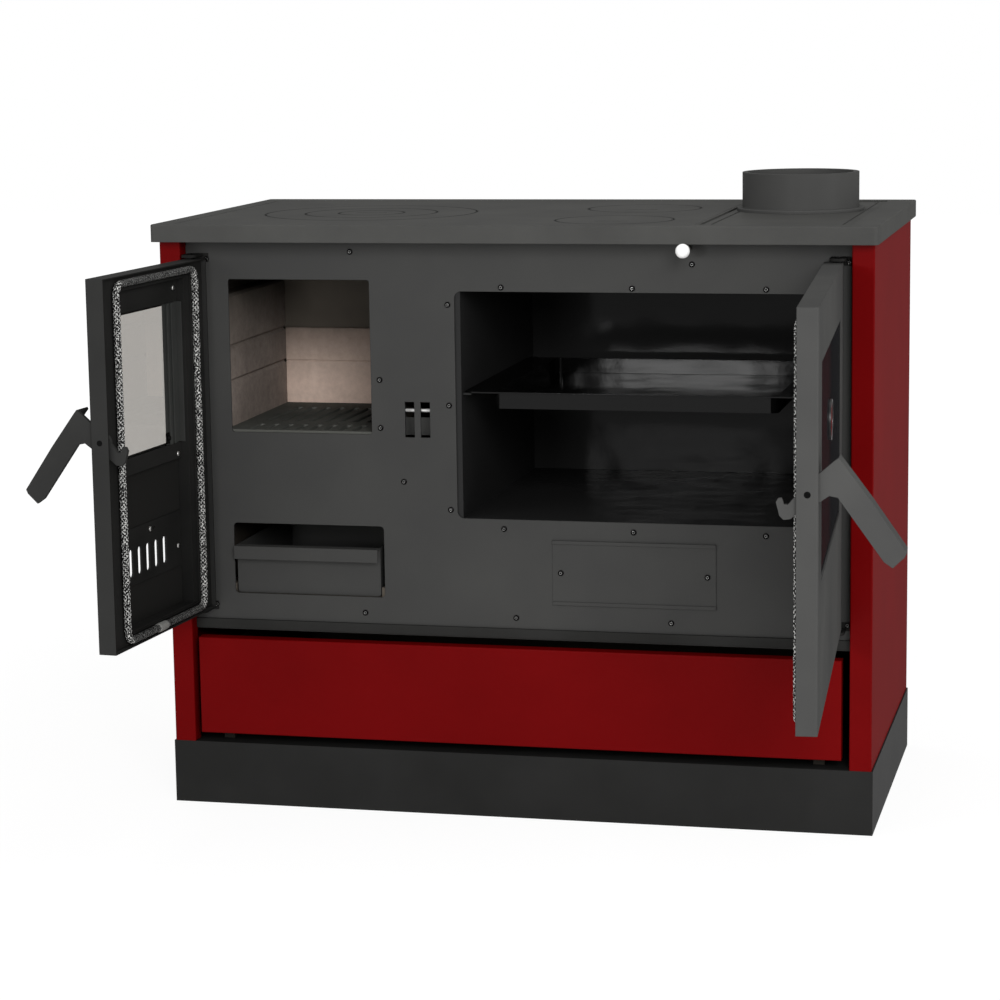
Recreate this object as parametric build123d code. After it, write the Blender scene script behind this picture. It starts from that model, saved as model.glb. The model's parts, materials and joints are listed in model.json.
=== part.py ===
"""Freestanding wood cook stove with a firebox, an oven, a hob and a wood drawer.

Millimetres, +Z up, front face towards -Y. The origin is on the floor, at the
centre of the plinth. Both doors stand open, as in the modelled rest pose.
"""
from build123d import *
import os

os.makedirs("parts", exist_ok=True)

# Overall sizes
BODY_W = 1024.0
BODY_D = 515.0
BODY_H = 850.0
PLINTH_H = 92.0
PLINTH_T = 3.0
WEB_FOOT = 40.0
SLAB_T = 25.0
SIDE_OVERHANG = 4.0
FRONT_OVERHANG = 22.0
REAR_OVERHANG = 22.0

# Sheet cladding
PANEL_INSET = 2.0
PANEL_T = 2.0
POST_W = 31.0
REAR_FLANGE_W = 18.0
FASCIA_SETBACK = 24.0
FASCIA_T = 3.0
SHEET = 2.0

# Openings in the fascia: left edges from the left side, bottoms from the floor
FIRE_X = 95.0
FIRE_W = 210.0
FIRE_Z = 548.0
FIRE_TOP_GAP = 56.0
FIRE_CORNER = 4.0
ASH_X = 93.0
ASH_W = 226.5
ASH_Z = 311.0
ASH_H = 104.0
ASH_CORNER = 6.0
OVEN_X = 429.0
OVEN_SIDE_GAP = 85.0
OVEN_Z = 430.0
OVEN_TOP_GAP = 71.0
OVEN_CORNER = 10.0
SLOT_W = 14.0
SLOT_Z = 545.0
SLOT_H = 51.0
LEDGE_Z = 259.0
LEDGE_H = 13.5
LEDGE_PROUD = 4.0
OVEN_SCREW_INSET = 68.0
OVEN_SCREW_LOW = 12.0
OVEN_SCREW_HIGH = 19.0
OVEN_SCREW_ABOVE = 6.0
OVEN_SCREW_BELOW = 13.5
OVEN_SCREW_BESIDE = 9.5
FIRE_SCREW_BESIDE = 13.0
FIRE_SCREW_RISES = (10.0, 79.0)
SILL_SCREW_DROP = 4.0
HATCH_SCREW_INSET = 12.0

# Doors
DOOR_SPLIT = 372.6
DOOR_GAP = 3.0
LEFT_DOOR_GAP = 3.0
RIGHT_DOOR_GAP = 7.0
DOOR_Z = 292.0
DOOR_TOP_GAP = 25.0
DOOR_PROUD = 8.0
DOOR_T = 26.0
DOOR_SHEET = 2.0
DOOR_CORNER = 2.5
PIVOT_INSET = 12.0
PIVOT_DEPTH = 7.0
PIVOT_R = 4.0
PIVOT_PLAY = 0.05
PIN_TAIL = 2.0
PIN_COLLAR = 2.5
LEFT_DOOR_ANGLE = 94.8
RIGHT_DOOR_ANGLE = 94.0
LUG_W = 24.0
LUG_T = 4.0
LUG_GAP = 2.0
LUG_FOOT_W = 30.0
LUG_FOOT_H = 12.0
LUG_SIDE_TRIM = 1.0
LUG_SCREW_X = 17.0
LUG_SCREW_SHIFT = 4.0
LUG_SCREW_RISE = 8.0

# Rope seals and the pressed inner frames that carry them
ROPE_R = 6.0
ROPE_BEND = 15.0
ROPE_GAP = 0.3
FRAME_EDGE_GAP = 0.5
LEVER_BAY = 13.0
LEFT_ROPE_X = 76.0
LEFT_ROPE_W = 255.0
RIGHT_ROPE_X = 405.0
RIGHT_ROPE_SIDE_GAP = 76.0
ROPE_Z = 302.0
LEFT_ROPE_TOP_GAP = 36.0
RIGHT_ROPE_TOP_GAP = 48.0

# Door windows
GLASS_T = 4.0
GLASS_LAP = 8.0
GLASS_PLAY = 0.4
RETAINER_T = 2.5
WINDOW_CORNER = 3.0
PANE_CLEARANCE = 7.0
BAR_DROP = 15.0
BAR_SCREW_IN = 14.0
BAR_SCREW_LOW = 8.0
BAR_SCREW_HIGH = 12.0
LEFT_PANE_PLAY = 1.0
LEFT_WINDOW_X = 105.0
LEFT_WINDOW_W = 200.0
LEFT_WINDOW_Z = 545.0
LEFT_WINDOW_TOP_GAP = 80.0
RIGHT_WINDOW_X = 442.0
RIGHT_WINDOW_SIDE_GAP = 108.0
RIGHT_WINDOW_Z = 466.0
RIGHT_WINDOW_TOP_GAP = 95.0
RECESS_MARGIN = 12.0
LEFT_RECESS_X = 100.0
LEFT_RECESS_W = 215.0
LEFT_RECESS_Z = 312.0
LEFT_RECESS_TOP_GAP = 47.0

# Air slider in the firebox door
AIR_SLOTS = 5
AIR_SPACING = 27.3
AIR_SLOT_W = 13.0
AIR_SLOT_H = 40.0
AIR_FIRST_X = 157.0
AIR_Z = 378.0
SLIDER_T = 1.5
SLIDER_TRAVEL = 13.6
SLIDER_H = 80.0
SLIDER_KNOB_R = 6.0
SLIDER_STEM_R = 2.3
SLIDER_KNOB_L = 9.4
SLIDER_KNOB_GAP = 0.6
KNOB_SLOT_HALF = 3.0
KNOB_SLOT_CORNER = 2.5
SLIDER_MARGIN = 2.0
SLIDER_DROP = 12.0
GUIDE_IN = 12.0
GUIDE_DROP = 2.0
GUIDE_SHIFT = 4.0
GUIDE_RISE = 18.0
GUIDE_END_PLAY = 0.4
GUIDE_PLAY = 0.3
GUIDE_CORNER = 2.2

# Lever handles: outlines are (y, z) from the pivot, in shares of the reach
LEVER_T = 6.0
LEVER_EDGE = 10.0
LEVER_DEPTH = 13.0
LEVER_Z = 581.0
LEVER_BOSS_R = 13.0
LEVER_FLANGE = 28.0
LEVER_PIN_R = 4.0
LEVER_REACH = 115.6
LEVER_NECK_TOP = (-0.1298, 0.2206)
LEVER_NECK_LOW = (-0.1298, -0.0779)
LEVER_GRIP = ((-0.2647, 0.3374), (-0.3114, 0.3720), (-0.3460, 0.3287), (-0.6488, -0.0779),
              (-1.0, -0.5856), (-0.9775, -0.6349), (-0.8564, -0.7483), (-0.7699, -0.6877),
              (-0.3028, -0.0346), (-0.2163, -0.0173))
LEVER_HOOK = ((0.1730, -0.2595), (0.2422, -0.2682), (0.2855, -0.2249), (0.3201, -0.0865),
              (0.2984, -0.0476), (0.2595, -0.0433), (0.2483, -0.0692), (0.2379, -0.1081),
              (0.1990, -0.1125))
LEVER_FOLD = ((-0.9775, -0.6003), (-0.6280, -0.0934), (-0.3253, 0.3131), (-0.2984, 0.3460))
LEVER_SLOT_UP = 36.0
LEVER_SLOT_DOWN = 17.0
LEVER_SLOT_PLAY = 1.0
BUSH_WALL = 3.0
KEEPER_R = 2.75
KEEPER_Y = 6.5
KEEPER_RISE = 2.5
KEEPER_SIDE = 15.0
KEEPER_DEPTH = 25.0
KEEPER_T = 2.5
KEEPER_TOP = 5.0
KEEPER_FOOT = 1.0

# Firebox
CASING_T = 2.0
BRICK_T = 28.0
FIRE_INNER_X = 84.0
FIRE_INNER_W = 228.0
FIRE_INNER_D = 298.0
SHELF_Z = 536.0
GRATE_T = 12.0
BRICK_SHARES = (0.333, 0.554, 0.883)
BRICK_EDGE = 1.5
BRICK_SIDE_EDGE = 4.0
SMOKE_GAP = 55.0
SHELF_T = 3.0
SHELF_LEDGE = 20.0
SHELF_REAR_LEDGE = 30.0
GRATE_PLAY = 1.0
GRATE_PITCH = 22.0
GRATE_BORDER = 20.0
GRATE_SLOT_W = 9.0
GRATE_SLOT_SLANT = -2.0
GRATE_ROWS = ((10.0, 62.0), (92.0, 244.0))

# Ash drawer
ASH_DRAWER_SIDE = 3.0
ASH_DRAWER_W = 216.0
ASH_DRAWER_H = 71.0
ASH_DRAWER_D = 262.0
ASH_LIP_H = 19.0
ASH_LIP_D = 16.0
ASH_SHEET = 1.5
ASH_RAIL_W = 6.0
ASH_RAIL_H = 14.0
ASH_SETBACK = 2.0
ASH_DRAWER_CORNER = 4.0
DRAWER_PLAY = 0.3

# Oven
OVEN_WALL_INSET = 8.0
OVEN_DEPTH = 463.0
OVEN_FLANGE = 9.0
RAIL_Z = 609.0
RAIL_W = 12.0
RAIL_T = 3.0
TRAY_RIM_T = 2.0
TRAY_SIDE = 43.0
TRAY_D = 415.0
TRAY_DEPTH = 22.0
TRAY_FRONT = 30.0
TRAY_EDGE = 4.0
TRAY_PLAY = 2.0
TRAY_SHEET = 1.5
TRAY_RIM_CORNER = 16.0
TRAY_PAN_CORNER = 12.0
RAIL_FRONT_GAP = 8.0
RAIL_REAR_GAP = 20.0
OVEN_FOOT = 20.0
OVEN_FOOT_INSET = 40.0

# Hob, measured from the left side and from the front plane
HOB_X = 26.0
HOB_FRONT = -4.0
HOB_FLUE_GAP = 4.0
HOB_D = 484.0
HOB_T = 12.0
HOB_SEAM = 1.0
RING_X = 254.0
RING_Y = 225.0
RING_R = 157.0
INNER_RING_R = 98.0
CENTRE_R = 49.0
LID_X_GAP = 130.0
FRONT_LID_Y = 95.0
REAR_LID_Y = 330.0
LID_R = 84.0
LID_T = 6.0
LID_LEDGE = 6.0
LID_GAP = 1.0
LID_SEAT = 0.1
LIFT_SLOT_L = 48.0
LIFT_SLOT_W = 5.0
LIFT_SLOT_DEEP = 3.0
NOTCH_R = 6.0
LIFT_SLOT_SHIFT = 25.0
HOB_REBATE = 20.0
SLAB_CORNER = 6.0
SLAB_EDGE = 2.0
HOB_EDGE = 1.0
NOTCH_DEEP = 0.9

# Flue
FLUE_SIDE_GAP = 36.0
FLUE_W = 208.0
FLUE_FRONT = 8.0
FLUE_D = 504.0
FLUE_SUNK = 2.0
COLLAR_X_GAP = 146.5
COLLAR_Y = 335.5
COLLAR_R = 85.3
COLLAR_BORE_R = 77.0
COLLAR_H = 56.0
COLLAR_FLANGE_R = 93.0
COLLAR_FLANGE_T = 5.0
COLLAR_EDGE = 2.0
FLUE_HOLE_R = 70.0
GROOVE_W = 3.0
GROOVE_DEEP = 1.0
GROOVE_INSET = 12.0

# Damper
DAMPER_X_GAP = 259.0
DAMPER_DROP = 8.0
DAMPER_ROD_R = 3.0
DAMPER_HOLE_PLAY = 0.5
DAMPER_KNOB_R = 10.0
DAMPER_KNOB_Y = -34.0
DAMPER_ROD_SUNK = 2.0
DAMPER_KNOB_BORE = 20.0
DAMPER_ROD_END = 20.0
DAMPER_LEG_RISE = 2.0
DAMPER_PLATE_W = 90.0
DAMPER_PLATE_D = 150.0
DAMPER_PLATE_Y = 210.0
DAMPER_PLATE_T = 3.0
DAMPER_TRAVEL = 80.0
DAMPER_LEG_T = 3.0
DAMPER_FRAME_LAP = 4.0
DAMPER_PORT_LAP = 15.0

# Soot hatch under the oven
HATCH_W = 234.0
HATCH_Z = 309.0
HATCH_H = 93.0
HATCH_T = 1.5
HATCH_LIP = 5.0
HATCH_LIP_PROUD = 1.5

# Wood drawer
WOOD_X = 42.3
WOOD_SIDE_GAP = 44.2
WOOD_Z = 105.5
WOOD_H = 142.5
WOOD_FRONT_T = 20.0
WOOD_FRONT_EDGE = 1.5
WOOD_BOX_INSET = 26.0
WOOD_BOX_Z = 116.0
WOOD_BOX_H = 112.0
WOOD_BACK_GAP = 51.0
RUNNER_W = 16.0

# Thermometer in the oven door
DIAL_RISE = 29.0
DIAL_R = 26.0
DIAL_H = 11.0
DIAL_WALL = 2.0
DIAL_PROUD = 0.5
DIAL_FLANGE_W = 3.0
DIAL_FLANGE_T = 1.5
DIAL_PLAY = 0.3
DIAL_STEM_R = 5.0
DIAL_NUT_R = 9.0
NEEDLE_L = 17.0
NEEDLE_COLD = -120.0
NEEDLE_TAIL = 6.0
NEEDLE_HALF = 0.7
NEEDLE_Y = (3.7, 2.9)
HUB_R = 3.0
HUB_Y = (4.0, 2.6)
HUB_BORE_R = 1.05
SPINDLE_R = 1.0
SPINDLE_L = 3.5
DIAL_BACK_T = 1.0
DIAL_T = 0.8
DIAL_HOLE_R = 1.2
DIAL_NUT_T = 4.0
COVER_Y = (0.5, 2.0)

# Screws
SCREW_R = 2.0
SCREW_PLAY = 0.1
SCREW_HEAD_R = 3.5
SCREW_HEAD_H = 2.0
FASCIA_HEAD_R = 4.2

# Levels and planes that follow from the sizes
LEFT = -BODY_W / 2
RIGHT = BODY_W / 2
FRONT = -BODY_D / 2
BACK = BODY_D / 2
SLAB_Z = BODY_H - SLAB_T
INNER_LEFT = LEFT + PANEL_INSET + PANEL_T
INNER_RIGHT = -INNER_LEFT
POST_LEFT = LEFT + PANEL_INSET + POST_W
POST_RIGHT = -POST_LEFT
FASCIA_Y = FRONT + FASCIA_SETBACK
FASCIA_BACK = FASCIA_Y + FASCIA_T
FIRE_X0 = LEFT + FIRE_X
FIRE_X1 = FIRE_X0 + FIRE_W
FIRE_Z1 = SLAB_Z - FIRE_TOP_GAP
ASH_X0 = LEFT + ASH_X
ASH_X1 = ASH_X0 + ASH_W
OVEN_X0 = LEFT + OVEN_X
OVEN_X1 = RIGHT - OVEN_SIDE_GAP
OVEN_Z1 = SLAB_Z - OVEN_TOP_GAP
OVEN_MID = (OVEN_X0 + OVEN_X1) / 2
SHELF_TOP = SHELF_Z + SHELF_T
CASING_TOP = SLAB_Z - SMOKE_GAP
BRICK_TOPS = [SHELF_TOP + share * (CASING_TOP - SHELF_TOP) for share in BRICK_SHARES]
SPLIT = LEFT + DOOR_SPLIT
DOOR_Y0 = FRONT - DOOR_PROUD
DOOR_Y1 = DOOR_Y0 + DOOR_T
DOOR_SKIN = DOOR_Y0 + DOOR_SHEET
DOOR_Z1 = SLAB_Z - DOOR_TOP_GAP
LEFT_DOOR = (POST_LEFT + LEFT_DOOR_GAP, SPLIT - DOOR_GAP / 2)
RIGHT_DOOR = (SPLIT + DOOR_GAP / 2, POST_RIGHT - RIGHT_DOOR_GAP)
PIVOT_Y = DOOR_Y0 + PIVOT_DEPTH
LEFT_PIVOT = LEFT_DOOR[0] + PIVOT_INSET
RIGHT_PIVOT = RIGHT_DOOR[1] - PIVOT_INSET
LEVER_Y = DOOR_Y0 + LEVER_DEPTH
LEFT_LEVER = LEFT_DOOR[1] - LEVER_EDGE
RIGHT_LEVER = RIGHT_DOOR[0] + LEVER_EDGE
ROPE_Y = FASCIA_Y - ROPE_GAP - ROPE_R
FRAME_Y = ROPE_Y - ROPE_R
GLASS_Y = DOOR_SKIN + GLASS_T


def box(x0, x1, y0, y1, z0, z1):
    """A block between two corners."""
    middle = Pos((x0 + x1) / 2, (y0 + y1) / 2, (z0 + z1) / 2)
    return middle * Box(x1 - x0, y1 - y0, z1 - z0)


def prism_y(x0, x1, z0, z1, y0, y1, radius):
    """A block with its four edges along Y rounded."""
    face = Plane(origin=((x0 + x1) / 2, y0, (z0 + z1) / 2), x_dir=(1, 0, 0), z_dir=(0, 1, 0))
    return extrude(face * RectangleRounded(x1 - x0, z1 - z0, radius), y1 - y0)


def prism_z(x0, x1, y0, y1, z0, z1, radius):
    """A block with its four upright edges rounded."""
    middle = Pos((x0 + x1) / 2, (y0 + y1) / 2, z0)
    return extrude(middle * RectangleRounded(x1 - x0, y1 - y0, radius), z1 - z0)


def rod_x(x0, x1, y, z, radius):
    return Pos((x0 + x1) / 2, y, z) * Rot(0, 90, 0) * Cylinder(radius, x1 - x0)


def rod_y(x, y0, y1, z, radius):
    return Pos(x, (y0 + y1) / 2, z) * Rot(90, 0, 0) * Cylinder(radius, y1 - y0)


def rod_z(x, y, z0, z1, radius):
    return Pos(x, y, (z0 + z1) / 2) * Cylinder(radius, z1 - z0)


def screw_y(x, z, seat, length, head_r):
    """A pan-head screw driven along +Y, its head on the plane y = seat."""
    head = rod_y(x, seat - SCREW_HEAD_H, seat, z, head_r)
    head = fillet(head.edges().sort_by(Axis.Y)[0], SCREW_HEAD_H * 0.6)
    return head + rod_y(x, seat, seat + length, z, SCREW_R)


def screw_back(x, z, seat, length):
    """A pan-head screw driven along -Y, its head on the plane y = seat."""
    head = rod_y(x, seat, seat + SCREW_HEAD_H, z, SCREW_HEAD_R)
    head = fillet(head.edges().sort_by(Axis.Y)[-1], SCREW_HEAD_H * 0.6)
    return head + rod_y(x, seat - length, seat, z, SCREW_R)


def screw_holes(places, y0, y1):
    return [rod_y(x, y0, y1, z, SCREW_R + SCREW_PLAY) for x, z in places]


def group(shapes):
    """Separate solids kept together in one file."""
    return Compound(children=[piece for shape in shapes for piece in shape.solids()])


def save(name, shape):
    export_step(shape, f"parts/{name}.step")


def left_open(shape):
    """Turn a piece of the closed firebox door to where it stands open."""
    axis = Axis((LEFT_PIVOT, PIVOT_Y, 0), (0, 0, 1))
    return shape.rotate(axis, -LEFT_DOOR_ANGLE)


def right_open(shape):
    """Turn a piece of the closed oven door to where it stands open."""
    axis = Axis((RIGHT_PIVOT, PIVOT_Y, 0), (0, 0, 1))
    return shape.rotate(axis, RIGHT_DOOR_ANGLE)


# Screw places on the fascia, each beside the opening whose casing it holds
SCREW_SPREAD = (OVEN_X1 - OVEN_X0) / 2 - OVEN_SCREW_INSET
OVEN_COLUMNS = [OVEN_MID - SCREW_SPREAD, OVEN_MID, OVEN_MID + SCREW_SPREAD]
OVEN_ROWS = [OVEN_Z + OVEN_SCREW_LOW, (OVEN_Z + OVEN_Z1) / 2, OVEN_Z1 - OVEN_SCREW_HIGH]
OVEN_SCREWS = [(x, OVEN_Z1 + OVEN_SCREW_ABOVE) for x in OVEN_COLUMNS]
OVEN_SCREWS += [(x, OVEN_Z - OVEN_SCREW_BELOW) for x in OVEN_COLUMNS]
OVEN_SCREWS += [(OVEN_X0 - OVEN_SCREW_BESIDE, z) for z in OVEN_ROWS]
PLAIN_SCREWS = [(FIRE_X1 + FIRE_SCREW_BESIDE, FIRE_Z + rise) for rise in FIRE_SCREW_RISES]
PLAIN_SCREWS += [
    (LEFT_LEVER - LEVER_EDGE, LEVER_Z - 100.0),
    (FIRE_X1 - 27.0, SLAB_Z - 16.0),
    (OVEN_MID + 84.0, OVEN_Z1 + 40.0),
    (ASH_X1 - 30.0, DOOR_Z - SILL_SCREW_DROP),
    (OVEN_COLUMNS[0] + 16.0, DOOR_Z - SILL_SCREW_DROP),
    (OVEN_MID + 53.0, DOOR_Z - SILL_SCREW_DROP),
]
HATCH_SCREWS = [
    (OVEN_MID - HATCH_W / 2 + HATCH_SCREW_INSET, HATCH_Z + HATCH_H / 2),
    (OVEN_MID + HATCH_W / 2 - HATCH_SCREW_INSET, HATCH_Z + HATCH_H / 2),
]
LUG_LOW = DOOR_Z - LUG_GAP - LUG_T
LUG_HIGH = DOOR_Z1 + LUG_GAP + LUG_T
LUG_SCREWS = [
    (LEFT_PIVOT + LUG_SCREW_X, LUG_LOW + LUG_SCREW_RISE),
    (LEFT_PIVOT + LUG_SCREW_X, LUG_HIGH - LUG_SCREW_RISE),
    (RIGHT_PIVOT + LUG_SCREW_X - LUG_SCREW_SHIFT, LUG_LOW + LUG_SCREW_RISE),
    (RIGHT_PIVOT + LUG_SCREW_X - LUG_SCREW_SHIFT, LUG_HIGH - LUG_SCREW_RISE),
]
DAMPER_AT = RIGHT - DAMPER_X_GAP
DAMPER_Z = SLAB_Z - DAMPER_DROP


def make_body():
    """Plinth, cladding, fascia and what is fixed to them."""
    plinth = box(LEFT, RIGHT, FRONT, BACK, 0, PLINTH_H)
    inside = box(LEFT + PLINTH_T, RIGHT - PLINTH_T, FRONT + PLINTH_T, BACK - PLINTH_T,
                 0, PLINTH_H - PLINTH_T)
    plinth -= inside
    plinth += box(-WEB_FOOT / 2, WEB_FOOT / 2, FRONT + PLINTH_T, BACK - PLINTH_T, 0, PLINTH_T)
    plinth += box(-PLINTH_T / 2, PLINTH_T / 2, FRONT + PLINTH_T, BACK - PLINTH_T,
                  PLINTH_T, PLINTH_H - PLINTH_T)
    save("plinth", plinth)

    z0, z1 = PLINTH_H, SLAB_Z
    outer = LEFT + PANEL_INSET
    panel = box(outer, outer + PANEL_T, FRONT, BACK, z0, z1)
    panel += box(outer, POST_LEFT, FRONT, FRONT + PANEL_T, z0, z1)
    panel += box(POST_LEFT - PANEL_T, POST_LEFT, FRONT, FASCIA_Y, z0, z1)
    panel += box(outer, outer + REAR_FLANGE_W, BACK - PANEL_T, BACK, z0, z1)
    bends = panel.edges().filter_by(Axis.Z)
    bends = [e for e in bends if e.center().X < outer + 0.1 or e.center().X > POST_LEFT - 0.1]
    bends = [e for e in bends if e.center().Y < FRONT + 0.1 or e.center().Y > BACK - 0.1]
    bends = [e for e in bends if e.center().X < POST_LEFT + 0.1]
    panel = fillet(bends, PANEL_T * 0.9)
    save("left_side_panel", panel)
    save("right_side_panel", panel.mirror(Plane.YZ))
    save("back_panel", box(INNER_LEFT, INNER_RIGHT, BACK - PANEL_T - SHEET, BACK - PANEL_T,
                           PLINTH_H, SLAB_Z))
    save("floor_plate", box(INNER_LEFT, INNER_RIGHT, FASCIA_BACK, BACK - PANEL_T - SHEET,
                            LEDGE_Z - SHEET, LEDGE_Z))

    cut0, cut1 = FASCIA_Y - 1, FASCIA_BACK + 1
    fascia = box(INNER_LEFT, INNER_RIGHT, FASCIA_Y, FASCIA_BACK, LEDGE_Z - SHEET, SLAB_Z)
    fascia -= prism_y(FIRE_X0, FIRE_X1, FIRE_Z, FIRE_Z1, cut0, cut1, FIRE_CORNER)
    fascia -= prism_y(ASH_X0, ASH_X1, ASH_Z, ASH_Z + ASH_H, cut0, cut1, ASH_CORNER)
    fascia -= prism_y(OVEN_X0, OVEN_X1, OVEN_Z, OVEN_Z1, cut0, cut1, OVEN_CORNER)
    for x in (LEFT_LEVER, RIGHT_LEVER):
        fascia -= box(x - SLOT_W / 2, x + SLOT_W / 2, cut0, cut1, SLOT_Z, SLOT_Z + SLOT_H)
    fascia -= rod_y(DAMPER_AT, cut0, cut1, DAMPER_Z, DAMPER_ROD_R + DAMPER_HOLE_PLAY)
    for hole in screw_holes(OVEN_SCREWS + PLAIN_SCREWS + HATCH_SCREWS + LUG_SCREWS, cut0, cut1):
        fascia -= hole
    save("fascia", fascia)
    save("fascia_ledge", box(POST_LEFT, POST_RIGHT, FASCIA_Y - LEDGE_PROUD, FASCIA_Y,
                             LEDGE_Z, LEDGE_Z + LEDGE_H))

    x0, x1 = OVEN_MID - HATCH_W / 2, OVEN_MID + HATCH_W / 2
    hatch = box(x0, x1, FASCIA_Y - HATCH_T, FASCIA_Y, HATCH_Z, HATCH_Z + HATCH_H)
    for z in (HATCH_Z, HATCH_Z + HATCH_H - HATCH_LIP):
        hatch += box(x0, x1, FASCIA_Y - HATCH_T - HATCH_LIP_PROUD, FASCIA_Y - HATCH_T,
                     z, z + HATCH_LIP)
    for hole in screw_holes(HATCH_SCREWS, cut0 - HATCH_T, FASCIA_Y + 1):
        hatch -= hole
    save("soot_hatch", hatch)

    screws = [screw_y(x, z, FASCIA_Y, FASCIA_T, FASCIA_HEAD_R)
              for x, z in OVEN_SCREWS + PLAIN_SCREWS]
    screws += [screw_y(x, z, FASCIA_Y - HATCH_T, HATCH_T + FASCIA_T, FASCIA_HEAD_R)
               for x, z in HATCH_SCREWS]
    screws += [screw_y(x, z, FASCIA_Y - SHEET, SHEET + FASCIA_T, SCREW_HEAD_R)
               for x, z in LUG_SCREWS]
    save("fascia_screws", group(screws))

    x0 = LEFT_LEVER - KEEPER_SIDE
    x1 = RIGHT_LEVER + KEEPER_SIDE
    back = FASCIA_BACK + KEEPER_DEPTH
    keeper = box(x0 + KEEPER_T, x1 - KEEPER_T, back - KEEPER_T, back, SLOT_Z, SLOT_Z + 0.5 * SLOT_H)
    for x in (x0, x1 - KEEPER_T):
        keeper += box(x, x + KEEPER_T, FASCIA_BACK, back,
                      SLOT_Z - KEEPER_FOOT, SLOT_Z + SLOT_H + KEEPER_TOP)
    keeper += rod_x(x0 + KEEPER_T, x1 - KEEPER_T, FASCIA_Y + KEEPER_Y, LEVER_Z + KEEPER_RISE,
                    KEEPER_R)
    save("latch_keeper", keeper)


def make_hinge_lugs():
    """Four angle brackets on the fascia that hold the doors' hinge pins."""
    lugs = []
    half = LUG_W / 2 - LUG_SIDE_TRIM
    for pivot, foot_x in ((LEFT_PIVOT, LEFT_PIVOT - half), (RIGHT_PIVOT, RIGHT_PIVOT - LUG_W / 2)):
        for z, foot_z in ((LUG_LOW, LUG_LOW), (LUG_HIGH - LUG_T, LUG_HIGH - LUG_FOOT_H)):
            lug = box(pivot - half, pivot + half, PIVOT_Y - LUG_W / 2, FASCIA_Y, z, z + LUG_T)
            edges = lug.edges().filter_by(Axis.Z).sort_by(Axis.Y)[:2]
            lug = fillet(edges, half * 0.8)
            lug += box(foot_x, foot_x + LUG_FOOT_W, FASCIA_Y - SHEET, FASCIA_Y,
                       foot_z, foot_z + LUG_FOOT_H)
            lug -= rod_z(pivot, PIVOT_Y, z - 1, z + LUG_T + 1, PIVOT_R + PIVOT_PLAY)
            for hole in screw_holes(LUG_SCREWS, FASCIA_Y - SHEET - 1, FASCIA_Y + 1):
                lug -= hole
            lugs.append(lug)
    save("hinge_brackets", group(lugs))


def hinge_pins(pivot):
    """Top and bottom pins with thrust collars, pressed into a door's returns."""
    low = DOOR_Z - LUG_GAP
    high = DOOR_Z1 + LUG_GAP
    bottom = rod_z(pivot, PIVOT_Y, low - LUG_T - PIN_TAIL, DOOR_Z + DOOR_SHEET, PIVOT_R)
    bottom += rod_z(pivot, PIVOT_Y, low + LID_SEAT, DOOR_Z, PIVOT_R + PIN_COLLAR)
    top = rod_z(pivot, PIVOT_Y, DOOR_Z1 - DOOR_SHEET, high + LUG_T + PIN_TAIL, PIVOT_R)
    top += rod_z(pivot, PIVOT_Y, DOOR_Z1, high - LID_SEAT, PIVOT_R + PIN_COLLAR)
    return group([bottom, top])


def door_shell(x0, x1, window, lever_x):
    """The folded outer pan of a door, with its window, lever slot and pin holes."""
    shell = box(x0, x1, DOOR_Y0, DOOR_Y1, DOOR_Z, DOOR_Z1)
    shell = fillet(shell.edges().filter_by(Axis.Z).sort_by(Axis.Y)[:2], DOOR_CORNER)
    shell -= box(x0 + DOOR_SHEET, x1 - DOOR_SHEET, DOOR_SKIN, DOOR_Y1 + 1,
                 DOOR_Z + DOOR_SHEET, DOOR_Z1 - DOOR_SHEET)
    shell -= prism_y(*window, DOOR_Y0 - 1, DOOR_SKIN + 1, WINDOW_CORNER)
    half = LEVER_T / 2 + LEVER_SLOT_PLAY
    shell -= box(lever_x - half, lever_x + half, DOOR_Y0 - 1, DOOR_SKIN + 1,
                 LEVER_Z - LEVER_SLOT_DOWN, LEVER_Z + LEVER_SLOT_UP)
    shell -= rod_x(lever_x - 3 * LEVER_EDGE, lever_x + 3 * LEVER_EDGE, LEVER_Y, LEVER_Z, LEVER_PIN_R)
    for pivot in (LEFT_PIVOT, RIGHT_PIVOT):
        shell -= rod_z(pivot, PIVOT_Y, DOOR_Z - 1, DOOR_Z1 + 1, PIVOT_R)
    return shell


def inner_frame(x0, x1, recess, lever_x):
    """The pressed tray inside a door that carries the rope and frames the window."""
    z0 = DOOR_Z + DOOR_SHEET + FRAME_EDGE_GAP
    z1 = DOOR_Z1 - DOOR_SHEET - FRAME_EDGE_GAP
    rx0, rx1, rz0, rz1 = recess
    frame = box(x0, x1, DOOR_SKIN, FRAME_Y, z0, z1)
    frame -= box(x0 + SHEET, x1 - SHEET, DOOR_SKIN - 1, FRAME_Y - SHEET, z0 + SHEET, z1 - SHEET)
    frame += box(rx0 - SHEET, rx1 + SHEET, DOOR_SKIN, FRAME_Y, rz0 - SHEET, rz1 + SHEET)
    frame -= box(rx0, rx1, DOOR_SKIN - 1, FRAME_Y + 1, rz0, rz1)
    return frame - rod_x(lever_x - 3 * LEVER_EDGE, lever_x + 3 * LEVER_EDGE, LEVER_Y, LEVER_Z,
                         LEVER_PIN_R)


def rope(x0, x1, z0, z1):
    """A closed ring of sealing rope round a door opening."""
    plane = Plane(origin=((x0 + x1) / 2, ROPE_Y, (z0 + z1) / 2), x_dir=(1, 0, 0), z_dir=(0, -1, 0))
    path = (plane * RectangleRounded(x1 - x0, z1 - z0, ROPE_BEND)).wire()
    start = Plane(origin=path @ 0, z_dir=path % 0)
    return sweep(start * Circle(ROPE_R), path=path)


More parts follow.
